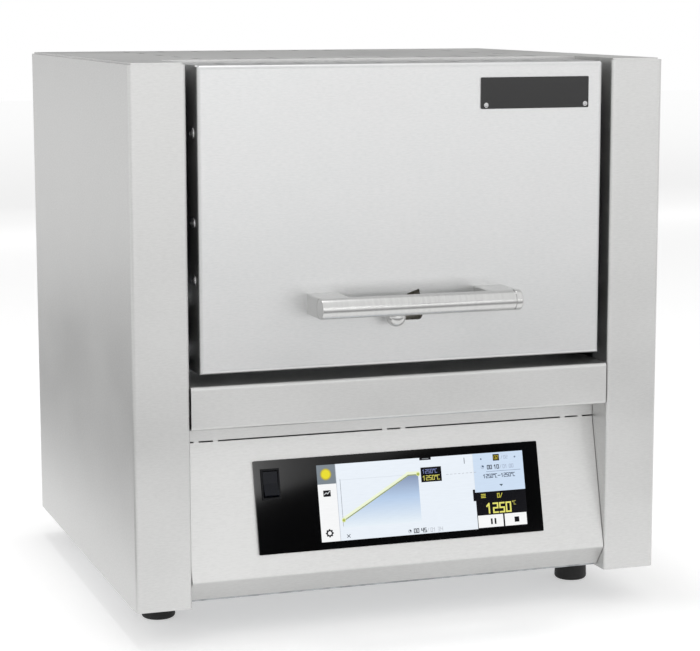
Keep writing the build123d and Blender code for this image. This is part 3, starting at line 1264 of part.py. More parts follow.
save("door_cover", door_cover())
save("door_back_plate", door_back_plate())
save("door_fibre", door_fibre())
save("handle_bar", handle_bar())
save("handle_end_cap", handle_cap())
save("handle_arms", [handle_arm(x) for x in handle_arm_centres()])
save("handle_screws", handle_screws())
save("blank_plate", blank_plate())
save("plate_rivets", plate_rivets())
save("door_side_screws", door_side_screws())
save("air_slide_plate", air_slide_plate())
save("air_slide_knob", air_slide_knob())
save("air_slide_guides", air_slide_guides())

for side, turn in (("right", lambda solid: solid), ("left", mirrored)):
    save(f"upper_link_{side}", turn(upper_link()))
    save(f"lower_link_{side}", turn(lower_link()))
    save(f"spring_{side}", turn(spring()))
    save(f"side_frame_{side}", turn(side_frame()))
save("door_pins", door_pins())
save("frame_pins", frame_pins())
save("door_brackets", both_sides(door_bracket()))
save("frame_studs", spring_anchors() + link_stops())

save("bulkhead", bulkhead())
save("shelf", shelf())
save("inner_shell", inner_shell())
save("chamber_collar", chamber_collar())
for name, solid in insulation().items():
    save(name, solid)
save("heating_plates", both_sides(heating_plate()))
save("heating_wires", heating_wires())
save("floor_tile", floor_tile())
save("thermocouple", thermocouple())
save("exhaust_tube", exhaust_tube())
save("exhaust_flange", exhaust_flange())

save("fan_frame", fan_frame())
save("fan_rotor", fan_rotor())
save("mains_inlet", mains_inlet())
save("heat_sink", heat_sink())
save("solid_state_relay", solid_state_relay())
save("terminal_block", terminal_block())

save("feet", [foot(x, y) for x, y in foot_places()])
save("foot_screws", [foot_screw(x, y) for x, y in foot_places()])
save("rear_screws", rear_screws())
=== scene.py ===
# %% [markdown]
# # A bench-top muffle furnace
# The furnace is a box of folded stainless sheet. Its door lifts on parallel links, a round grip stands
# off the door, and a sheet that leans back carries a black glass with a lit display.
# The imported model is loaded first. It gives every solid its place and size, in metres, and this lesson
# adds the finishes, the finer pieces, the light and the camera.

import bmesh
import bpy
import numpy as np
from mathutils import Matrix, Vector


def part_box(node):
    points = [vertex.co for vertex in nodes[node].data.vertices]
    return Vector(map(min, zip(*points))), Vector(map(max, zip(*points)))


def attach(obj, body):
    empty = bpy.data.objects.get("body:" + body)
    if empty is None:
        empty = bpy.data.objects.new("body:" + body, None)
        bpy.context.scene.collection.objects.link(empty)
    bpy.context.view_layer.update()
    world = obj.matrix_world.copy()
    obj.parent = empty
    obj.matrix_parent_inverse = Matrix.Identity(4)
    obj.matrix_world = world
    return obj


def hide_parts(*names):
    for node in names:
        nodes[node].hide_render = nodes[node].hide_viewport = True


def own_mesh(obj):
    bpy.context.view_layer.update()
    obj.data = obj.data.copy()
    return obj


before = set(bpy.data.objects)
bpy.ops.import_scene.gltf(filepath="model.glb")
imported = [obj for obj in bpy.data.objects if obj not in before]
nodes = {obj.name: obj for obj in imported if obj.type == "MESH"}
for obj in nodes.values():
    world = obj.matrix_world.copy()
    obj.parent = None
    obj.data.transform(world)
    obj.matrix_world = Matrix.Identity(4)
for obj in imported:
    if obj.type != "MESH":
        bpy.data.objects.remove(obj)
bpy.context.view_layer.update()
scene = bpy.context.scene
print("CAD nodes:", len(nodes))

# %% [markdown]
# ## Where the model's planes are
# A few places are read from the solids' boxes. The rest are the sizes of the real pieces, in
# millimetres, and one value turns millimetres to metres.

# %% Places
MM = 0.001


def corners(name):
    """Lowest and highest corner of a node, in millimetres."""
    low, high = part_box(name)
    return np.array(low) / MM, np.array(high) / MM


side_low, side_high = corners("side_panel_right")
FRONT = side_low[1]
HALF = side_high[0]
BENCH_TO_BODY = side_low[2]
door_low, door_high = corners("door_cover")
bar_low, bar_high = corners("handle_bar")
BAR_RADIUS = (bar_high[2] - bar_low[2]) / 2
BAR_Y, BAR_Z = (bar_low[1] + bar_high[1]) / 2, (bar_low[2] + bar_high[2]) / 2
print("front plane", FRONT, "half width", HALF, "bar", BAR_Y, BAR_Z, BAR_RADIUS)

# %% [markdown]
# ## The camera
# The photograph was taken from the left of the middle and a little above the furnace. The camera's
# place was found by fitting the furnace's corners to where they stand in the picture.

# %% Camera
IMAGE_WIDTH = 700
SENSOR = 36.0
FOCAL_PIXELS = 2146.5
AZIMUTH, PITCH, ROLL = np.radians([18.925, 8.561, -0.076])
EYE = Vector((-510.1, -1369.4 + FRONT, 430.7)) * MM

camera_data = bpy.data.cameras.new("photo_camera")
camera = bpy.data.objects.new("photo_camera", camera_data)
scene.collection.objects.link(camera)
camera_data.sensor_width = SENSOR
camera_data.sensor_fit = "HORIZONTAL"
camera_data.lens = FOCAL_PIXELS / IMAGE_WIDTH * SENSOR
camera_data.clip_start = 0.05
camera_data.clip_end = 50.0
ahead = Vector((np.sin(AZIMUTH) * np.cos(PITCH), np.cos(AZIMUTH) * np.cos(PITCH), -np.sin(PITCH)))
rightward = Vector((np.cos(AZIMUTH), -np.sin(AZIMUTH), 0.0))
upward = rightward.cross(ahead)
turned_right = rightward * np.cos(ROLL) + upward * np.sin(ROLL)
turned_up = upward * np.cos(ROLL) - rightward * np.sin(ROLL)
pose = Matrix((turned_right, turned_up, -ahead)).transposed().to_4x4()
camera.matrix_world = Matrix.Translation(EYE) @ pose
scene.camera = camera
print("lens", round(camera_data.lens, 1), "mm")

# %% [markdown]
# ## Two tools for finishes
# A colour is written as it looks on a screen, in sRGB hex, and turned to the linear numbers that the
# renderer wants. One small function adds a node, sets it and links it.

# %% Finish tools
scene.view_settings.view_transform = "Standard"


def linear(hex_colour):
    """sRGB hex to linear red, green, blue and alpha: c/12.92 below 0.04045, else ((c+0.055)/1.055)^2.4."""
    c = np.array([int(hex_colour[i:i + 2], 16) for i in (1, 3, 5)]) / 255
    rgb = np.where(c <= 0.04045, c / 12.92, ((c + 0.055) / 1.055) ** 2.4)
    return (*rgb.tolist(), 1.0)


def add(tree, kind, inputs=None, **settings):
    """Adds a node. Each input is a value, or a socket of another node to link from."""
    made = tree.nodes.new(kind)
    for key, value in settings.items():
        setattr(made, key, value)
    for key, value in (inputs or {}).items():
        if isinstance(value, bpy.types.NodeSocket):
            tree.links.new(value, made.inputs[key])
        else:
            made.inputs[key].default_value = value
    return made


def finish_named(name):
    """An empty material with its Principled shader: returns the material, its tree and the shader."""
    material = bpy.data.materials.new(name)
    material.use_nodes = True
    tree = material.node_tree
    return material, tree, tree.nodes["Principled BSDF"]


def ramp(tree, fac, stops):
    """Colour ramp with (place, hex colour) stops."""
    made = add(tree, "ShaderNodeValToRGB", {"Fac": fac})
    elements = made.color_ramp.elements
    while len(elements) < len(stops):
        elements.new(0.5)
    for element, (place, colour) in zip(elements, stops):
        element.position = place
        element.color = linear(colour)
    return made


def grain(tree, per_mm, detail=2.0, roughness=0.5):
    """Noise on the object's own coordinates; per_mm is how many grains a millimetre holds on each axis."""
    place = add(tree, "ShaderNodeTexCoord").outputs["Object"]
    scaled = add(tree, "ShaderNodeMapping", {"Vector": place, "Scale": tuple(n / MM for n in per_mm)})
    return add(tree, "ShaderNodeTexNoise", {
        "Vector": scaled.outputs["Vector"], "Scale": 1.0, "Detail": detail, "Roughness": roughness,
    }).outputs["Fac"]


def relief(tree, height, depth_mm):
    """Bump from a height socket, with its depth in millimetres."""
    return add(tree, "ShaderNodeBump", {
        "Height": height, "Distance": depth_mm * MM, "Strength": 1.0}).outputs["Normal"]


# %% [markdown]
# ## Stainless sheet with a rolled linen pattern
# The casing is stainless steel whose surface was rolled between patterned rolls, so that finger marks
# don't show. Up close it is a fabric of short level dashes, some three millimetres long and under one
# high. From afar it looks like even pale satin. The dashes go into the bump and, faintly, into the
# colour. The real dashes are finer than a pixel here, so they are drawn a little coarser.

# %% Rolled stainless
DASH_LENGTH, DASH_HEIGHT = 4.0, 0.9


def rolled_stainless(name, low_tone, high_tone, roughness=0.42, dash_depth=0.035):
    """Metal with level dashes: noise stretched by the dash's length over its height."""
    material, tree, shader = finish_named(name)
    dashes = grain(tree, (1 / DASH_LENGTH, 1 / DASH_LENGTH, 1 / DASH_HEIGHT), detail=3.0, roughness=0.6)
    clouds = grain(tree, (1 / 90, 1 / 90, 1 / 60), detail=2.0)
    blend = add(tree, "ShaderNodeMath", {0: dashes, 1: clouds}, operation="ADD")
    half = add(tree, "ShaderNodeMath", {0: blend.outputs[0], 1: 0.5}, operation="MULTIPLY")
    tone = ramp(tree, half.outputs[0], [(0.36, low_tone), (0.64, high_tone)])
    tree.links.new(tone.outputs["Color"], shader.inputs["Base Color"])
    gloss = add(tree, "ShaderNodeMapRange", {
        "Value": clouds, "From Min": 0.3, "From Max": 0.7,
        "To Min": roughness - 0.03, "To Max": roughness + 0.04})
    tree.links.new(gloss.outputs["Result"], shader.inputs["Roughness"])
    tree.links.new(relief(tree, dashes, dash_depth), shader.inputs["Normal"])
    shader.inputs["Metallic"].default_value = 1.0
    return material


casing_steel = rolled_stainless("rolled_stainless_sheet", "#d0d0cf", "#dadad9")
door_steel = rolled_stainless("rolled_stainless_door", "#d2d3d3", "#dcdcdc", roughness=0.36)
inner_steel = rolled_stainless("rolled_stainless_inside", "#b9b9b8", "#c9c9c8", roughness=0.34)
print("made", casing_steel.name, door_steel.name)

# %% [markdown]
# ## The other metals
# Inner sheets are zinc coated, with a dull mottled spangle. Turned stainless is the grip, its cap and
# the ball knob. The lathe leaves fine rings square to its axis, so the noise is close along that axis and
# drawn out across it. The bar was turned about x, the knob about y. Springs are drawn wire, the heat
# sink is extruded aluminium, and the heating coils carry a dark grey oxide.

# %% Other metals


def metal(name, tones, roughness, per_mm, depth_mm, spread=0.05):
    """Metal whose noise shifts colour, roughness and relief together."""
    material, tree, shader = finish_named(name)
    noise = grain(tree, per_mm, detail=3.0)
    tone = ramp(tree, noise, [(0.35, tones[0]), (0.65, tones[1])])
    tree.links.new(tone.outputs["Color"], shader.inputs["Base Color"])
    gloss = add(tree, "ShaderNodeMapRange", {
        "Value": noise, "From Min": 0.3, "From Max": 0.7,
        "To Min": roughness - spread, "To Max": roughness + spread})
    tree.links.new(gloss.outputs["Result"], shader.inputs["Roughness"])
    tree.links.new(relief(tree, noise, depth_mm), shader.inputs["Normal"])
    shader.inputs["Metallic"].default_value = 1.0
    return material


zinc_sheet = metal("zinc_coated_sheet", ("#8f9294", "#b4b7b9"), 0.42, (0.12, 0.12, 0.12), 0.01)
turned_steel = metal("turned_stainless", ("#cbcbca", "#d0d0cf"), 0.24, (0.5, 0.02, 0.02), 0.0004, 0.015)
knob_steel = metal("turned_stainless_knob", ("#c6c6c5", "#cccccb"), 0.2, (0.02, 0.5, 0.02), 0.0004, 0.015)
drawn_wire = metal("drawn_spring_wire", ("#8a8a8c", "#b0b0b2"), 0.3, (1.5, 1.5, 1.5), 0.01)
flat_bar = metal("zinc_plated_flat_bar", ("#9a9da0", "#c0c2c4"), 0.33, (0.5, 0.5, 0.5), 0.008)
extruded_aluminium = metal("extruded_aluminium", ("#b8b9bb", "#cdced0"), 0.38, (3.0, 0.05, 3.0), 0.01)
oxidised_wire = metal("oxidised_heating_wire", ("#3b3633", "#5d554f"), 0.6, (1.2, 1.2, 1.2), 0.05)
screw_steel = metal("rolled_screw_steel", ("#b9b9ba", "#d8d8d9"), 0.25, (1.0, 1.0, 1.0), 0.005)

# %% [markdown]
# ## Plastics, rubber, ceramic and enamel
# These don't carry a metal's colour in their gloss. Each has the typical gloss of its kind, a speckle or
# fibre pattern at its real size, and a shallow relief: moulded grain on plastic and rubber, felted
# fibres on the insulation, pores on fired ceramic.

# %% Other finishes


def dull(name, tones, roughness, per_mm, depth_mm, spread=0.06, specular=0.5):
    """Non-metal whose noise shifts colour, roughness and relief together."""
    material, tree, shader = finish_named(name)
    noise = grain(tree, per_mm, detail=4.0, roughness=0.6)
    tone = ramp(tree, noise, [(0.3, tones[0]), (0.7, tones[1])])
    tree.links.new(tone.outputs["Color"], shader.inputs["Base Color"])
    gloss = add(tree, "ShaderNodeMapRange", {
        "Value": noise, "From Min": 0.3, "From Max": 0.7,
        "To Min": max(roughness - spread, 0.02), "To Max": roughness + spread})
    tree.links.new(gloss.outputs["Result"], shader.inputs["Roughness"])
    tree.links.new(relief(tree, noise, depth_mm), shader.inputs["Normal"])
    shader.inputs["IOR"].default_value = 1.5
    shader.inputs["Specular IOR Level"].default_value = specular
    return material


moulded_black = dull("moulded_black_plastic", ("#08090d", "#0c0e13"), 0.3, (0.8, 0.8, 0.8), 0.004,
                     specular=0.16)
rocker_black = dull("polished_rocker_plastic", ("#0d1018", "#10131c"), 0.22, (0.2, 0.2, 0.2), 0.001,
                    spread=0.02, specular=0.2)
moulded_rubber = dull("moulded_rubber", ("#0d0d0d", "#1a1a1a"), 0.62, (1.6, 1.6, 1.6), 0.04)
fibre_board = dull("vacuum_formed_fibre", ("#d9d3c4", "#f0ece2"), 0.95, (0.5, 0.5, 0.5), 0.35, 0.03, 0.2)
fired_ceramic = dull("fired_ceramic", ("#cbbfa8", "#e3dac8"), 0.75, (0.35, 0.35, 0.35), 0.15)
black_enamel = dull("stoved_black_enamel", ("#0b0b0c", "#141416"), 0.22, (0.8, 0.8, 0.8), 0.006)
relay_plastic = dull("moulded_white_plastic", ("#d9d8d2", "#e6e5e0"), 0.4, (1.5, 1.5, 1.5), 0.01)
board_mask = dull("solder_mask", ("#0c3a20", "#15512e"), 0.3, (0.4, 0.4, 0.4), 0.01)

# %% [markdown]
# ## Printed glass
# The front is float glass with black ink behind it. Only the polished surface reflects, so the base is
# nearly black and the roughness is close to none. A faint waviness bends the reflection a little.

# %% Printed glass


def printed_glass(name, ink):
    material, tree, shader = finish_named(name)
    waves = grain(tree, (0.02, 0.02, 0.02), detail=1.0)
    tone = ramp(tree, waves, [(0.3, ink), (0.7, "#08090b")])
    tree.links.new(tone.outputs["Color"], shader.inputs["Base Color"])
    tree.links.new(relief(tree, waves, 0.02), shader.inputs["Normal"])
    shader.inputs["Roughness"].default_value = 0.05
    shader.inputs["IOR"].default_value = 1.5
    return material


black_glass = printed_glass("black_printed_glass", "#050506")

# %% [markdown]
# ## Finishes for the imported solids
# Each solid gets the finish of the real piece. The mesh stays as it is: only its material slots change.

# %% Assign finishes
FINISHES = {
    casing_steel: ["side_panel_left", "side_panel_right", "top_cover", "rear_panel", "front_ledge",
                   "control_panel", "exhaust_flange"],
    door_steel: ["door_cover"],
    inner_steel: ["door_back_plate", "air_slide_plate"],
    zinc_sheet: ["base_plate", "bulkhead", "shelf", "inner_shell", "side_frame_left", "side_frame_right",
                 "door_brackets", "air_slide_guides"],
    turned_steel: ["handle_bar", "handle_end_cap", "handle_arms"],
    knob_steel: ["air_slide_knob", "exhaust_tube"],
    screw_steel: ["handle_screws", "door_side_screws", "rear_screws", "foot_screws", "door_pins",
                  "frame_pins", "frame_studs", "plate_rivets"],
    flat_bar: ["upper_link_left", "upper_link_right", "lower_link_left", "lower_link_right"],
    drawn_wire: ["spring_left", "spring_right"],
    extruded_aluminium: ["heat_sink"],
    oxidised_wire: ["heating_wires"],
    moulded_black: ["switch_housing", "fan_frame", "fan_rotor", "mains_inlet"],
    rocker_black: ["rocker"],
    moulded_rubber: ["feet"],
    fibre_board: ["door_fibre", "chamber_collar", "insulation_floor", "insulation_roof",
                  "insulation_sides", "insulation_rear"],
    fired_ceramic: ["heating_plates", "floor_tile", "thermocouple"],
    black_enamel: ["blank_plate"],
    relay_plastic: ["solid_state_relay", "terminal_block"],
    board_mask: ["controller_board"],
    black_glass: ["front_glass", "display_screen"],
}


def give(piece, material):
    """Puts one finish into every material slot of a piece."""
    if not piece.material_slots:
        piece.data.materials.append(material)
    for held in piece.material_slots:
        held.material = material


for material, names in FINISHES.items():
    for name in names:
        give(nodes[name], material)
unfinished = set(nodes) - {name for names in FINISHES.values() for name in names}
print("nodes without a finish:", sorted(unfinished))

# %% [markdown]
# ## Surfaces from grids
# Every new piece is a grid of points, worked out as one array. The function below joins the grid's
# points into four-sided faces, closes it round where asked, and caps its open ends. Edges sharper than
# an angle stay crisp, and the rest is shaded smooth.

# %% Grid to mesh
CRISP_ANGLE = np.radians(38)


def shells(name, grids, material, body, around=True, stands_for=()):
    """One piece from grids of points in millimetres, each (rows, columns, 3). Columns close round the
    section, and the first and last rows are capped with one face each."""
    points, faces = [], []
    start = 0
    for grid in grids:
        rows, columns = grid.shape[:2]
        index = np.arange(rows * columns).reshape(rows, columns) + start
        ahead_index = np.roll(index, -1, axis=1) if around else index[:, 1:]
        here = index if around else index[:, :-1]
        quads = np.stack([here[:-1], ahead_index[:-1], ahead_index[1:], here[1:]], axis=-1).reshape(-1, 4)
        faces += quads.tolist()
        if around:
            faces += [index[0, ::-1].tolist(), index[-1].tolist()]
        points.append(grid.reshape(-1, 3))
        start += rows * columns
    mesh = bpy.data.meshes.new(name)
    mesh.from_pydata((np.concatenate(points) * MM).tolist(), [], faces)
    mesh.update()
    return placed(name, mesh, material, body, stands_for)


def placed(name, mesh, material, body, stands_for=()):
    """Links a finished mesh as a piece that rides on a body and stands for nodes."""
    piece = bpy.data.objects.new(name, mesh)
    scene.collection.objects.link(piece)
    mesh.materials.append(material)
    outward(mesh)
    mesh.shade_smooth()
    mesh.set_sharp_from_angle(angle=CRISP_ANGLE)
    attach(piece, body)
    if stands_for:
        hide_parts(*stands_for)
    print(name, "faces", len(mesh.polygons))
    return piece


def outward(mesh):
    """Turns the faces so that they point out of the closed surface."""
    work = bmesh.new()
    work.from_mesh(mesh)
    bmesh.ops.recalc_face_normals(work, faces=work.faces)
    work.to_mesh(mesh)
    work.free()


def across_of(axis):
    """Two unit vectors square to an axis."""
    axis = np.asarray(axis, float)
    other = np.array([0.0, 0.0, 1.0]) if abs(axis[2]) < 0.5 else np.array([1.0, 0.0, 0.0])
    first = np.cross(axis, other)
    first /= np.linalg.norm(first)
    return first, np.cross(axis, first)


def turned(profile, origin, axis, sides=64):
    """Surface of revolution: origin + t axis + r (cos a first + sin a second), for each (r, t)."""
    profile = np.asarray(profile, float)
    first, second = across_of(axis)
    angle = np.linspace(0, 2 * np.pi, sides, endpoint=False)
    ring = np.cos(angle)[:, None] * first + np.sin(angle)[:, None] * second
    line = np.asarray(origin, float) + profile[:, 1, None] * np.asarray(axis, float)
    return line[:, None, :] + profile[:, 0, None, None] * ring[None]


def arc(centre, radius, start, end, steps):
    """(r, t) points of a circle's part: centre + radius (cos a, sin a), angles in degrees."""
    angle = np.radians(np.linspace(start, end, steps))
    return np.stack([centre[0] + radius * np.cos(angle), centre[1] + radius * np.sin(angle)], axis=-1)


POLE = 0.02

# %% [markdown]
# ## The grip
# The grip is a turned stainless bar with its edges just broken, and a cap on its right-hand end,
# parted from the bar by a narrow groove.

# %% Grip
cap_low, cap_high = corners("handle_end_cap")
EDGE = 0.4
bar_profile = np.concatenate([
    [(POLE, bar_low[0])],
    arc((BAR_RADIUS - EDGE, bar_low[0] + EDGE), EDGE, -90, 0, 6),
    arc((BAR_RADIUS - EDGE, cap_low[0] - 0.6 - EDGE), EDGE, 0, 90, 6),
    [(BAR_RADIUS - 0.6, cap_low[0] - 0.6), (BAR_RADIUS - 0.6, cap_low[0]), (POLE, cap_low[0])]])
cap_profile = np.concatenate([
    [(POLE, cap_low[0])],
    arc((BAR_RADIUS - EDGE, cap_low[0] + EDGE), EDGE, -90, 0, 6),
    arc((BAR_RADIUS - 1.2, cap_high[0] - 1.2), 1.2, 0, 90, 8),
    [(POLE, cap_high[0])]])
shells("turned_grip", [turned(bar_profile, (0, BAR_Y, BAR_Z), (1, 0, 0))], turned_steel, "door",
       stands_for=["handle_bar"])
shells("turned_grip_cap", [turned(cap_profile, (0, BAR_Y, BAR_Z), (1, 0, 0))], turned_steel, "door",
       stands_for=["handle_end_cap"])

# %% [markdown]
# ## The ball knob of the air slide
# The knob is a ball turned on its stem, with a small flat where it was parted off.

# %% Ball knob
knob_low, knob_high = corners("air_slide_knob")
BALL_RADIUS = (knob_high[2] - knob_low[2]) / 2
ball_centre = np.array([(knob_low[0] + knob_high[0]) / 2, knob_low[1] + BALL_RADIUS,
                        (knob_low[2] + knob_high[2]) / 2])
stem_end = knob_high[1] - ball_centre[1]
STEM_RADIUS = 2.0
meet = np.degrees(np.arccos(STEM_RADIUS / BALL_RADIUS))
knob_profile = np.concatenate([
    arc((0, 0), BALL_RADIUS, -89.5, meet, 40), [(STEM_RADIUS, stem_end), (POLE, stem_end)]])
shells("ball_knob", [turned(knob_profile, ball_centre, (0, 1, 0), sides=48)], knob_steel, "air_slide",
       stands_for=["air_slide_knob"])

# %% [markdown]
# ## Rubber feet
# Each foot is a moulded rubber cup with a rounded tread and a recess for its screw.

# %% Feet
foot_low, foot_high = corners("feet")
FOOT_RADIUS, FOOT_TOP, TREAD, RECESS, RECESS_DEPTH = 12.0, 11.0, 2.5, 6.0, 8.5
foot_profile = np.concatenate([
    [(POLE, RECESS_DEPTH), (RECESS, RECESS_DEPTH), (RECESS, 0.6)],
    arc((RECESS + 0.6, 0.6), 0.6, 180, 270, 5),
    arc((FOOT_RADIUS - TREAD, TREAD), TREAD, -90, 0, 10),
    [(FOOT_TOP, foot_high[2]), (POLE, foot_high[2])]])
foot_x = foot_high[0] - FOOT_RADIUS
foot_y = (foot_low[1] + FOOT_RADIUS, foot_high[1] - FOOT_RADIUS)
feet = [turned(foot_profile, (x, y, 0), (0, 0, 1), sides=48) for x in (-foot_x, foot_x) for y in foot_y]
shells("rubber_feet", feet, moulded_rubber, "casing", stands_for=["feet"])

# %% [markdown]
# ## Button screws
# The door's cover is held by button-head screws with a hexagon socket, three on each side. The head is a
# low dome, and the socket is drawn as a round hole in it, a little narrower at its floor.

# %% Button screws
SCREW_HEAD, SCREW_HEIGHT, SOCKET = 3.7, 2.0, 1.25
DOOR_SCREW_Z = door_low[2] + np.array([63.0, 101.5, 161.0])
screw_profile = np.concatenate([
    [(POLE, 0.9), (SOCKET * 0.93, 0.9), (SOCKET, SCREW_HEIGHT - 0.05)],
    arc((0, SCREW_HEIGHT - 4.9), 4.9, 74, 44, 12), [(SCREW_HEAD, 0.0), (POLE, 0.0)]])
heads = [turned(screw_profile, (side * door_high[0], FRONT + 12.0, z), (side, 0, 0), sides=36)
         for side in (-1, 1) for z in DOOR_SCREW_Z]
shells("door_button_screws", heads, screw_steel, "door",
       stands_for=["door_side_screws"])

# %% [markdown]
# ## Counterbalance springs
# Each spring is a close coil of wire with a ring at each end. The coil is a circle carried up a helix,
# and the ring lies in the plane of the side. The spring shortens as the door goes up. Each spring gets a
# mesh of its own.

# %% Springs


def swept(path, radius, reference, sides=10):
    """Tube: each path point carries a circle, square to the path's tangent and turned to a reference."""
    tangent = np.gradient(path, axis=0)
    tangent /= np.linalg.norm(tangent, axis=1)[:, None]
    first = np.cross(tangent, reference)
    first /= np.linalg.norm(first, axis=1)[:, None]
    second = np.cross(tangent, first)
    angle = np.linspace(0, 2 * np.pi, sides, endpoint=False)
    ring = np.cos(angle)[None, :, None] * first[:, None] + np.sin(angle)[None, :, None] * second[:, None]
    return path[:, None] + radius * ring


WIRE, EYE_RADIUS, COIL_HALF, COIL_TURNS, STEPS_A_TURN = 0.7, 3.9, 48.0, 64, 14
for side_name in ("left", "right"):
    low, high = corners(f"spring_{side_name}")
    middle = (low + high) / 2
    coil_radius = (high[0] - low[0]) / 2 - WIRE
    coil_low, coil_high = middle[2] - COIL_HALF, middle[2] + COIL_HALF
    t = np.linspace(0, 1, COIL_TURNS * STEPS_A_TURN)
    wave = 2 * np.pi * COIL_TURNS * t
    coil = np.stack([middle[0] + coil_radius * np.cos(wave), middle[1] + coil_radius * np.sin(wave),
                     coil_low + (coil_high - coil_low) * t], axis=-1)
    parts = [swept(coil, WIRE, (0, 0, 1), sides=8)]
    reach = EYE_RADIUS + WIRE
    for pin_z, end_z, sign in ((high[2] - reach, coil_high, 1), (low[2] + reach, coil_low, -1)):
        turn = np.radians(np.linspace(-90, 255, 40)) * sign
        ring = np.stack([np.full(40, middle[0]), middle[1] + EYE_RADIUS * np.cos(turn),
                         pin_z + EYE_RADIUS * np.sin(turn)], axis=-1)
        leg = np.stack([np.full(6, middle[0]), np.full(6, middle[1]),
                        np.linspace(end_z - sign, pin_z - sign * EYE_RADIUS, 6)], axis=-1)
        parts += [swept(ring, WIRE, (1, 0, 0)), swept(leg, WIRE, (1, 0, 0))]
    spring = shells(f"coil_spring_{side_name}", parts, drawn_wire, "casing",
                    stands_for=[f"spring_{side_name}"])
    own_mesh(spring)

# %% [markdown]
# ## Heating coils
# Inside the chamber a coiled wire lies in each groove of the ceramic side plates. Each coil is a helix
# about a level line.

# %% Heating coils
heat_low, heat_high = corners("heating_wires")
GROOVES, GROOVE_HALF = 5, 1.8
groove_z = np.linspace(heat_low[2] + GROOVE_HALF, heat_high[2] - GROOVE_HALF, GROOVES)
COIL_RADIUS, COIL_PITCH, COIL_WIRE = 1.35, 1.6, 0.4
length = heat_high[1] - heat_low[1]
turns = int(length / COIL_PITCH)
t = np.linspace(0, 1, turns * 12)
wave = 2 * np.pi * turns * t
coils = []
for x in (heat_low[0] + GROOVE_HALF, heat_high[0] - GROOVE_HALF):
    for z in groove_z:
        along = heat_low[1] + COIL_WIRE + (length - 2 * COIL_WIRE) * t
        line = np.stack([x + COIL_RADIUS * np.cos(wave), along, z + COIL_RADIUS * np.sin(wave)], axis=-1)
        coils.append(swept(line, COIL_WIRE, (0, 1, 0), sides=6))
shells("heating_coils", coils, oxidised_wire, "casing", stands_for=["heating_wires"])

# %% [markdown]
# ## The lit picture on the display
# The display is a flat panel behind the glass. Its picture is made of thin tiles, each with its own
# colour, stacked a few hundredths of a millimetre apart. Sizes are measured across and up the leaning
# panel. The picture gives its own light, so its colours look the same whatever stands round it.

# %% Panel plane and tiles
LEAN = np.radians(13.9)
SLOPE_FOOT = np.array([0.0, FRONT + 0.8, BENCH_TO_BODY + 17.2])
SCREEN_FACE = 1.455
LAYER = 0.022


def on_panel(points):
    """Across, up the slope and outward, in millimetres, to the furnace's own place."""
    u, v, w = np.moveaxis(np.asarray(points, float), -1, 0)
    y = v * np.sin(LEAN) - w * np.cos(LEAN)
    z = v * np.cos(LEAN) + w * np.sin(LEAN)
    return np.stack([u, y, z], axis=-1) + SLOPE_FOOT


tiles = []


def tile(u0, v0, u1, v1, colour, layer):
    """A level rectangle of the picture."""
    tiles.append((np.array([(u0, v0), (u1, v0), (u1, v1), (u0, v1)], float), colour, layer))


def stroke(a, b, width, colour, layer):
    """A straight stroke between two points, with square ends that reach half a width past them."""
    a, b = np.array(a, float), np.array(b, float)
    along = (b - a) / max(np.linalg.norm(b - a), 1e-6) * width / 2
    aside = np.array([-along[1], along[0]])
    tiles.append((np.array([a - along - aside, b + along - aside, b + along + aside, a - along + aside]),
                  colour, layer))


def disc(u, v, radius, colour, layer, sides=20):
    """A round dot."""
    angle = np.linspace(0, 2 * np.pi, sides, endpoint=False)
    ring = np.stack([u + radius * np.cos(angle), v + radius * np.sin(angle)], axis=-1)
    tiles.append((ring, colour, layer))


# %% [markdown]
# Figures are drawn as strokes on a grid two wide and four high. Each glyph is a string of points, with a
# space where the pen lifts.

# %% Figures
GLYPHS = {
    "0": "0020 2024 2404 0400", "1": "0314 1410", "2": "0424 2422 2202 0200 0020",
    "3": "0424 2420 2000 0222", "4": "0402 0222 2420", "5": "2404 0402 0222 2220 2000",
    "6": "2404 0400 0020 2022 2202", "7": "0424 2410", "8": "0020 2024 2404 0400 0222",
    "9": "0020 2024 2404 0402 0222", ":": "1111 1313", "/": "0024", "C": "2404 0400 0020",
    "%": "0024 0303 2121", "-": "0222", ">": "0222 2213 2211", "'": "0414 1413 1303 0304",
}


def figures(text, u, v, height, colour, layer, weight=0.15):
    """Draws text from its lower left corner; returns where it ends."""
    unit = height / 4
    for letter in text:
        if letter != " ":
            for pair in GLYPHS[letter].split():
                a = (u + int(pair[0]) * unit, v + int(pair[1]) * unit)
                b = (u + int(pair[2]) * unit, v + int(pair[3]) * unit)
                stroke(a, b, height * weight, colour, layer)
        u += unit * (2.0 if letter in ":/' " else 3.1)
    return u


# %% [markdown]
# The picture has a narrow bar with three signs (a sun, a chart and a gear), a large pale field with the
# heating curve, a pale blue field with times and temperatures, a black field with the value in large
# yellow figures, and two white buttons. A disc on a darker and larger one has a soft rim.

# %% Picture
LEFT, RIGHT, LOW, HIGH = -59.8, 95.4, 20.4, 73.7
BAR_RIGHT = LEFT + 13.8
SUN_FIELD = HIGH - 13.4
SPLIT = 56.9
SKY_LOW = 46.2
PALE, INK, YELLOW = "#eff6fe", "#0c0c12", "#ecdf26"
tile(LEFT, LOW, RIGHT, HIGH, INK, 0)
tile(LEFT, LOW, BAR_RIGHT, SUN_FIELD, "#fbfcfd", 1)
tile(LEFT, SUN_FIELD, BAR_RIGHT, HIGH, "#7c868e", 1)
tile(BAR_RIGHT, LOW, SPLIT, HIGH, PALE, 1)
tile(BAR_RIGHT - 0.15, LOW, BAR_RIGHT + 0.25, HIGH, "#c9ced6", 2)
bar_middle = (LEFT + BAR_RIGHT) / 2
sun = (bar_middle - 0.4, HIGH - 6.6)
disc(*sun, 4.2, "#a39d5f", 2)
disc(*sun, 3.6, "#d6c52e", 3)
disc(*sun, 2.9, YELLOW, 4)
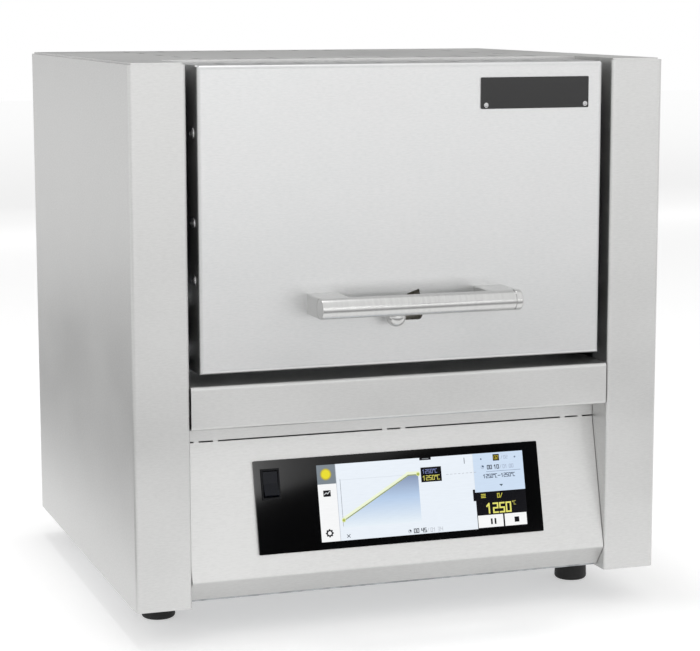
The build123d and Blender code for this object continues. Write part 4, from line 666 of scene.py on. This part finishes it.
tile(bar_middle - 3.2, 51.6, bar_middle + 2.2, 56.0, INK, 2)
zigzag = [(-2.5, 53.2), (-1.1, 54.3), (-0.1, 53.5), (1.5, 55.2)]
for a, b in zip(zigzag[:-1], zigzag[1:]):
    stroke((bar_middle + a[0], a[1]), (bar_middle + b[0], b[1]), 0.55, "#d9dcdf", 3)
gear = np.array([bar_middle - 0.7, 26.3])
disc(*gear, 2.3, INK, 2)
for turn in np.radians(np.arange(0, 360, 45)):
    ray = np.array([np.cos(turn), np.sin(turn)])
    stroke(gear + 2.0 * ray, gear + 2.3 * ray, 1.1, INK, 2)
disc(*gear, 1.35, "#fbfcfd", 3)

FIELD_FLOOR = 29.0
CURVE = np.array([(-42.6, 34.4), (7.4, 62.4), (14.8, 62.4)])
stroke((-43.2, 30.4), (-43.2, 62.8), 0.35, "#9aa0a8", 3)
stroke((-42.4, 62.4), (4.0, 62.4), 0.4, "#e2e9f1", 2)
for a, b in zip(CURVE[:-1], CURVE[1:]):
    stroke(a + (0, 0.7), b + (0, 0.7), 2.6, "#f4fbdc", 3)
    stroke(a - (0, 0.3), b - (0, 0.3), 0.8, "#9ba67c", 4)
for place in (CURVE[0], CURVE[2]):
    disc(*place, 1.4, "#dde79a", 5)
    disc(*place, 0.8, "#aab352", 6)
for u in np.arange(36.0, 58.0, 3.0):
    stroke((u, 60.6), (u + 1.6, 60.6), 0.3, "#b6bac2", 3)
tile(16.9, 56.4, 32.4, 66.8, INK, 5)
figures("1250'C", 18.4, 62.6, 2.6, "#7f88b8", 6)
figures("1250'C", 18.4, 57.8, 3.0, "#d8d268", 6)
tile(16.7, 71.9, 25.3, HIGH, INK, 3)
tile(18.6, 72.6, 23.6, 73.1, "#8f9499", 4)
stroke((50.4, 67.6), (50.4, 71.2), 0.6, "#8b9098", 3)
stroke((-41.0, 22.3), (-38.9, 24.3), 0.5, "#5a6068", 3)
stroke((-38.9, 22.3), (-41.0, 24.3), 0.5, "#5a6068", 3)
clock = (5.4, 22.9)
disc(*clock, 1.3, "#a9aeb6", 3)
disc(*clock, 0.9, PALE, 4)
disc(clock[0] + 0.3, clock[1] + 0.4, 0.7, "#4a4f57", 5)
end = figures("00:45", 8.6, 21.6, 2.7, "#3a3e46", 3, weight=0.2)
figures("/ 01:34", end, 21.4, 2.7, "#c3c8cf", 3)

SKY, SKY_INK, SKY_FAINT = "#d3e4f8", "#3f4a60", "#a9b6cb"
tile(SPLIT, SKY_LOW, RIGHT, HIGH, SKY, 1)
tile(SPLIT - 0.2, SKY_LOW, SPLIT + 0.2, HIGH, "#e3ebf4", 2)
tile(SPLIT - 1.8, 40.2, SPLIT, 48.4, INK, 2)
tile(72.4, 67.8, 77.2, 72.4, INK, 3)
figures("02", 73.3, 68.9, 2.4, "#c9b43a", 4)
figures("/ 02", 78.6, 68.9, 2.2, SKY_FAINT, 3)
disc(63.2, 69.6, 0.6, "#64748c", 3)
disc(89.2, 69.6, 0.6, "#64748c", 3)
disc(63.9, 63.9, 1.3, SKY_FAINT, 3)
disc(63.9, 63.9, 0.9, SKY, 4)
disc(64.2, 64.3, 0.7, "#4c5f78", 5)
end = figures("00:10", 67.6, 62.2, 2.6, "#2a3040", 3, weight=0.2)
figures("/ 01:00", end + 0.2, 62.2, 2.4, SKY_FAINT, 3)
tile(66.6, 60.2, RIGHT - 2.4, 60.55, "#93a2bc", 3)
end = figures("1250'C", 64.2, 56.0, 2.5, SKY_INK, 3, weight=0.18)
stroke((end + 0.2, 57.2), (end + 1.8, 57.2), 0.5, SKY_INK, 3)
figures("1250'C", end + 2.8, 56.0, 2.5, SKY_INK, 3, weight=0.18)
tiles.append((np.array([(75.7, 50.9), (77.2, 49.4), (78.7, 50.9)]), "#4d5c66", 3))
for row in range(3):
    stroke((61.3, 42.3 + row * 1.1), (64.3, 42.3 + row * 1.1), 0.6, "#d3cc55", 2)
figures("0%", 73.6, 41.6, 2.8, "#c9c24e", 2, weight=0.2)
figures("1250", 64.9, 31.2, 6.4, "#ece878", 2, weight=0.17)
figures("'C", 84.6, 35.8, 2.5, "#bdb75a", 2)
for u0, u1 in ((SPLIT + 0.5, 76.6), (77.8, RIGHT - 0.7)):
    tile(u0, LOW + 0.6, u1, LOW + 9.3, "#fcfdfd", 2)
for u in (67.0, 69.8):
    tile(u, LOW + 2.6, u + 1.3, LOW + 6.7, INK, 3)
tile(85.2, LOW + 2.9, 88.8, LOW + 6.6, INK, 3)
print("tiles in the picture:", len(tiles))

# %% [markdown]
# Under the curve the pale field shades into blue. That part is a grid whose colour is worked out for
# each point: the blue is strongest just under the curve and fades downward and to the left.

# %% Picture mesh


def tinted_mesh(name, shapes):
    """Closed thin slabs from flat outlines: each outline at its layer, and again a little below it."""
    points, faces, colours = [], [], []
    start = 0
    for outline, colour, layer in shapes:
        n = len(outline)
        top = SCREEN_FACE + LAYER * layer
        both = [np.column_stack([outline, np.full(n, w)]) for w in (top - LAYER * 0.8, top)]
        points += both
        index = np.arange(n)
        faces += [(start + index[::-1]).tolist(), (start + n + index).tolist()]
        ahead_index = np.roll(index, -1)
        faces += np.stack([start + index, start + ahead_index, start + n + ahead_index, start + n + index],
                          axis=-1).tolist()
        colours.append(np.tile(linear(colour), (2 * n, 1)))
        start += 2 * n
    mesh = bpy.data.meshes.new(name)
    mesh.from_pydata((on_panel(np.concatenate(points)) * MM).tolist(), [], faces)
    tint = mesh.color_attributes.new("tint", "FLOAT_COLOR", "POINT")
    tint.data.foreach_set("color", np.concatenate(colours).astype(np.float32).ravel())
    mesh.update()
    return mesh


def shaded_field(name, columns=60, rows=24):
    """Grid under the curve: u along the curve's run, s from the floor of the field up to the curve."""
    u = np.linspace(CURVE[0, 0], CURVE[2, 0], columns)
    top = np.interp(u, CURVE[:, 0], CURVE[:, 1]) - 0.6
    base = FIELD_FLOOR
    s = np.linspace(0, 1, rows)[:, None]
    v = base + s * (top - base)
    flat = np.stack([np.broadcast_to(u, v.shape), v], axis=-1)
    share = np.clip((v - base) / (CURVE[2, 1] - base), 0, 1)[..., None]
    pale, blue, deep = (np.array(linear(tone)) for tone in ("#eef7fe", "#bcd2ee", "#8a99b6"))
    colour = np.where(share < 0.55, pale + (blue - pale) * (share / 0.55) ** 0.9,
                      blue + (deep - blue) * (share - 0.55) / 0.45)
    w = SCREEN_FACE + LAYER * 2
    layers = [on_panel(np.concatenate([flat, np.full((*v.shape, 1), h)], axis=-1)) for h in (w - 0.015, w)]
    index = np.arange(rows * columns).reshape(rows, columns)
    quads = np.stack([index[:-1, :-1], index[:-1, 1:], index[1:, 1:], index[1:, :-1]], axis=-1).reshape(-1, 4)
    rim = np.concatenate([index[0], index[1:, -1], index[-1, -2::-1], index[-2:0:-1, 0]])
    count = rows * columns
    after = np.roll(rim, -1)
    walls = np.stack([rim, after, after + count, rim + count], axis=-1)
    faces = np.concatenate([quads[:, ::-1], quads + count, walls])
    mesh = bpy.data.meshes.new(name)
    mesh.from_pydata((np.concatenate([g.reshape(-1, 3) for g in layers]) * MM).tolist(), [], faces.tolist())
    tint = mesh.color_attributes.new("tint", "FLOAT_COLOR", "POINT")
    tint.data.foreach_set("color", np.concatenate([colour.reshape(-1, 4)] * 2).astype(np.float32).ravel())
    mesh.update()
    return mesh


def lit_panel(name):
    """Backlit picture: colour and light both come from the tint; faint pixel rows vary it."""
    material, tree, shader = finish_named(name)
    tint = add(tree, "ShaderNodeAttribute", attribute_name="tint")
    rows = grain(tree, (0.15, 0.15, 3.0), detail=1.0)
    shade = add(tree, "ShaderNodeMapRange", {
        "Value": rows, "From Min": 0.3, "From Max": 0.7, "To Min": 0.96, "To Max": 1.0})
    lit = add(tree, "ShaderNodeVectorMath", {0: tint.outputs["Color"], 1: shade.outputs["Result"]},
              operation="MULTIPLY")
    tree.links.new(lit.outputs["Vector"], shader.inputs["Emission Color"])
    shader.inputs["Emission Strength"].default_value = 0.97
    shader.inputs["Base Color"].default_value = (0.004, 0.004, 0.004, 1.0)
    shader.inputs["Roughness"].default_value = 0.08
    return material


lit_screen = lit_panel("backlit_display")
for name, mesh in (("display_picture", tinted_mesh("display_picture", tiles)),
                   ("display_curve_field", shaded_field("display_curve_field"))):
    placed(name, mesh, lit_screen, "casing")

# %% [markdown]
# ## Floor, cards and light
# The furnace stands on white paper in a white surround. Reflections and the camera see the surround as
# white, and it lights matt surfaces a little less, so that the lamp overhead can throw a shadow. The
# lamp is small and hangs just in front of the furnace's middle, so the shadow is short and its edge is
# crisp. Polished sheet shows whatever stands round it, so a few cards are put where the camera doesn't
# see them: a grey one on the floor in front, one to the left, and one high behind for the lid. Two more
# stand in front, where the glass looks: a black one, and above its sloping edge a lit one that fades to
# the right. They are what the glass mirrors. A weak strip draws the bright line on the grip.

# %% Studio
PAPER_GLOW = 0.46
SURROUND_LIGHT = 0.72


def directly_seen(tree):
    """One for rays of the camera, of reflections and through glass, and nought for the rest."""
    rays = add(tree, "ShaderNodeLightPath")
    seen = add(tree, "ShaderNodeMath", {
        0: rays.outputs["Is Camera Ray"], 1: rays.outputs["Is Glossy Ray"]}, operation="MAXIMUM")
    return add(tree, "ShaderNodeMath", {
        0: seen.outputs[0], 1: rays.outputs["Is Transmission Ray"]}, operation="MAXIMUM").outputs[0]


def paper(name, tone, glow=0.0):
    """Matt paper. Its glow is seen by the camera and by reflections only, and doesn't light the scene."""
    material, tree, shader = finish_named(name)
    shader.inputs["Base Color"].default_value = linear(tone)
    shader.inputs["Roughness"].default_value = 0.9
    shader.inputs["Specular IOR Level"].default_value = 0.0
    if glow:
        strength = add(tree, "ShaderNodeMath", {0: directly_seen(tree), 1: glow}, operation="MULTIPLY")
        tree.links.new(strength.outputs[0], shader.inputs["Emission Strength"])
        shader.inputs["Emission Color"].default_value = (1.0, 1.0, 1.0, 1.0)
    return material


def card(name, middle, across_to, up_to, finish):
    """Flat rectangle, in metres: middle +- across_to +- up_to."""
    middle, across_to, up_to = (np.array(v, float) for v in (middle, across_to, up_to))
    signs = ((-1, -1), (1, -1), (1, 1), (-1, 1))
    mesh = bpy.data.meshes.new(name)
    mesh.from_pydata([(middle + i * across_to + j * up_to).tolist() for i, j in signs], [], [(0, 1, 2, 3)])
    piece = bpy.data.objects.new(name, mesh)
    scene.collection.objects.link(piece)
    mesh.materials.append(finish)
    return piece


card("studio_floor", (0, 0, 0), (8, 0, 0), (0, 8, 0), paper("white_paper", "#dedede", PAPER_GLOW))
card("card_in_front", (0, -0.76, 0.004), (1.6, 0, 0), (0, 0.3, 0), paper("dark_card", "#a4a4a4", 0.1))
card("card_left", (-0.62, 0.6, 0.004), (0.28, 0, 0), (0, 0.9, 0), paper("grey_card", "#9a9a9a"))
card("card_behind", (0.5, 2.4, 1.7), (2.6, 0, 0), (0, 0, 1.24), paper("middle_card", "#9c9c9c"))
card("black_card", (1.025, -3.0, 0.734), (0.425, 0, 0.092), (0, 0, 0.14), paper("black_card", "#383838"))


def fading_light(name, stops, strength):
    """A lit card whose light changes along its own x axis, with (place in metres, grey) stops."""
    material, tree, shader = finish_named(name)
    place = add(tree, "ShaderNodeTexCoord").outputs["Object"]
    along = add(tree, "ShaderNodeSeparateXYZ", {0: place}).outputs["X"]
    tone = ramp(tree, along, stops)
    tree.links.new(tone.outputs["Color"], shader.inputs["Emission Color"])
    shader.inputs["Emission Strength"].default_value = strength
    shader.inputs["Base Color"].default_value = (0.0, 0.0, 0.0, 1.0)
    return material


FADE = [(0.74, "#ffffff"), (0.80, "#c4c4c4"), (0.86, "#a0a0a0"), (0.95, "#787878")]
card("fading_card", (1.0, -3.1, 0.92), (0.5, 0, 0), (0, 0, 0.2), fading_light("fading_light", FADE, 3.2))


def soft_lamp(name, place, target, size, watts):
    """Rectangular area lamp at a place, turned to a target."""
    data = bpy.data.lights.new(name, "AREA")
    data.shape = "RECTANGLE"
    data.size, data.size_y = size
    data.energy = watts
    lamp = bpy.data.objects.new(name, data)
    scene.collection.objects.link(lamp)
    lamp.location = place
    lamp.rotation_euler = (Vector(target) - Vector(place)).to_track_quat("-Z", "Y").to_euler()
    return lamp


soft_lamp("overhead_lamp", (-0.12, 0.06, 2.4), (-0.12, 0.06, 0), (0.4, 0.4), 14)
soft_lamp("strip_softbox", (0.3, -3.0, 0.45), (0, 0, 0.25), (3.0, 0.25), 3.6)

world = bpy.data.worlds.new("studio_white")
scene.world = world
world.use_nodes = True
backdrop = world.node_tree.nodes["Background"]
backdrop.inputs["Color"].default_value = (1.0, 1.0, 1.0, 1.0)
level = add(world.node_tree, "ShaderNodeMapRange", {
    "Value": directly_seen(world.node_tree), "To Min": SURROUND_LIGHT, "To Max": 1.0})
world.node_tree.links.new(level.outputs["Result"], backdrop.inputs["Strength"])
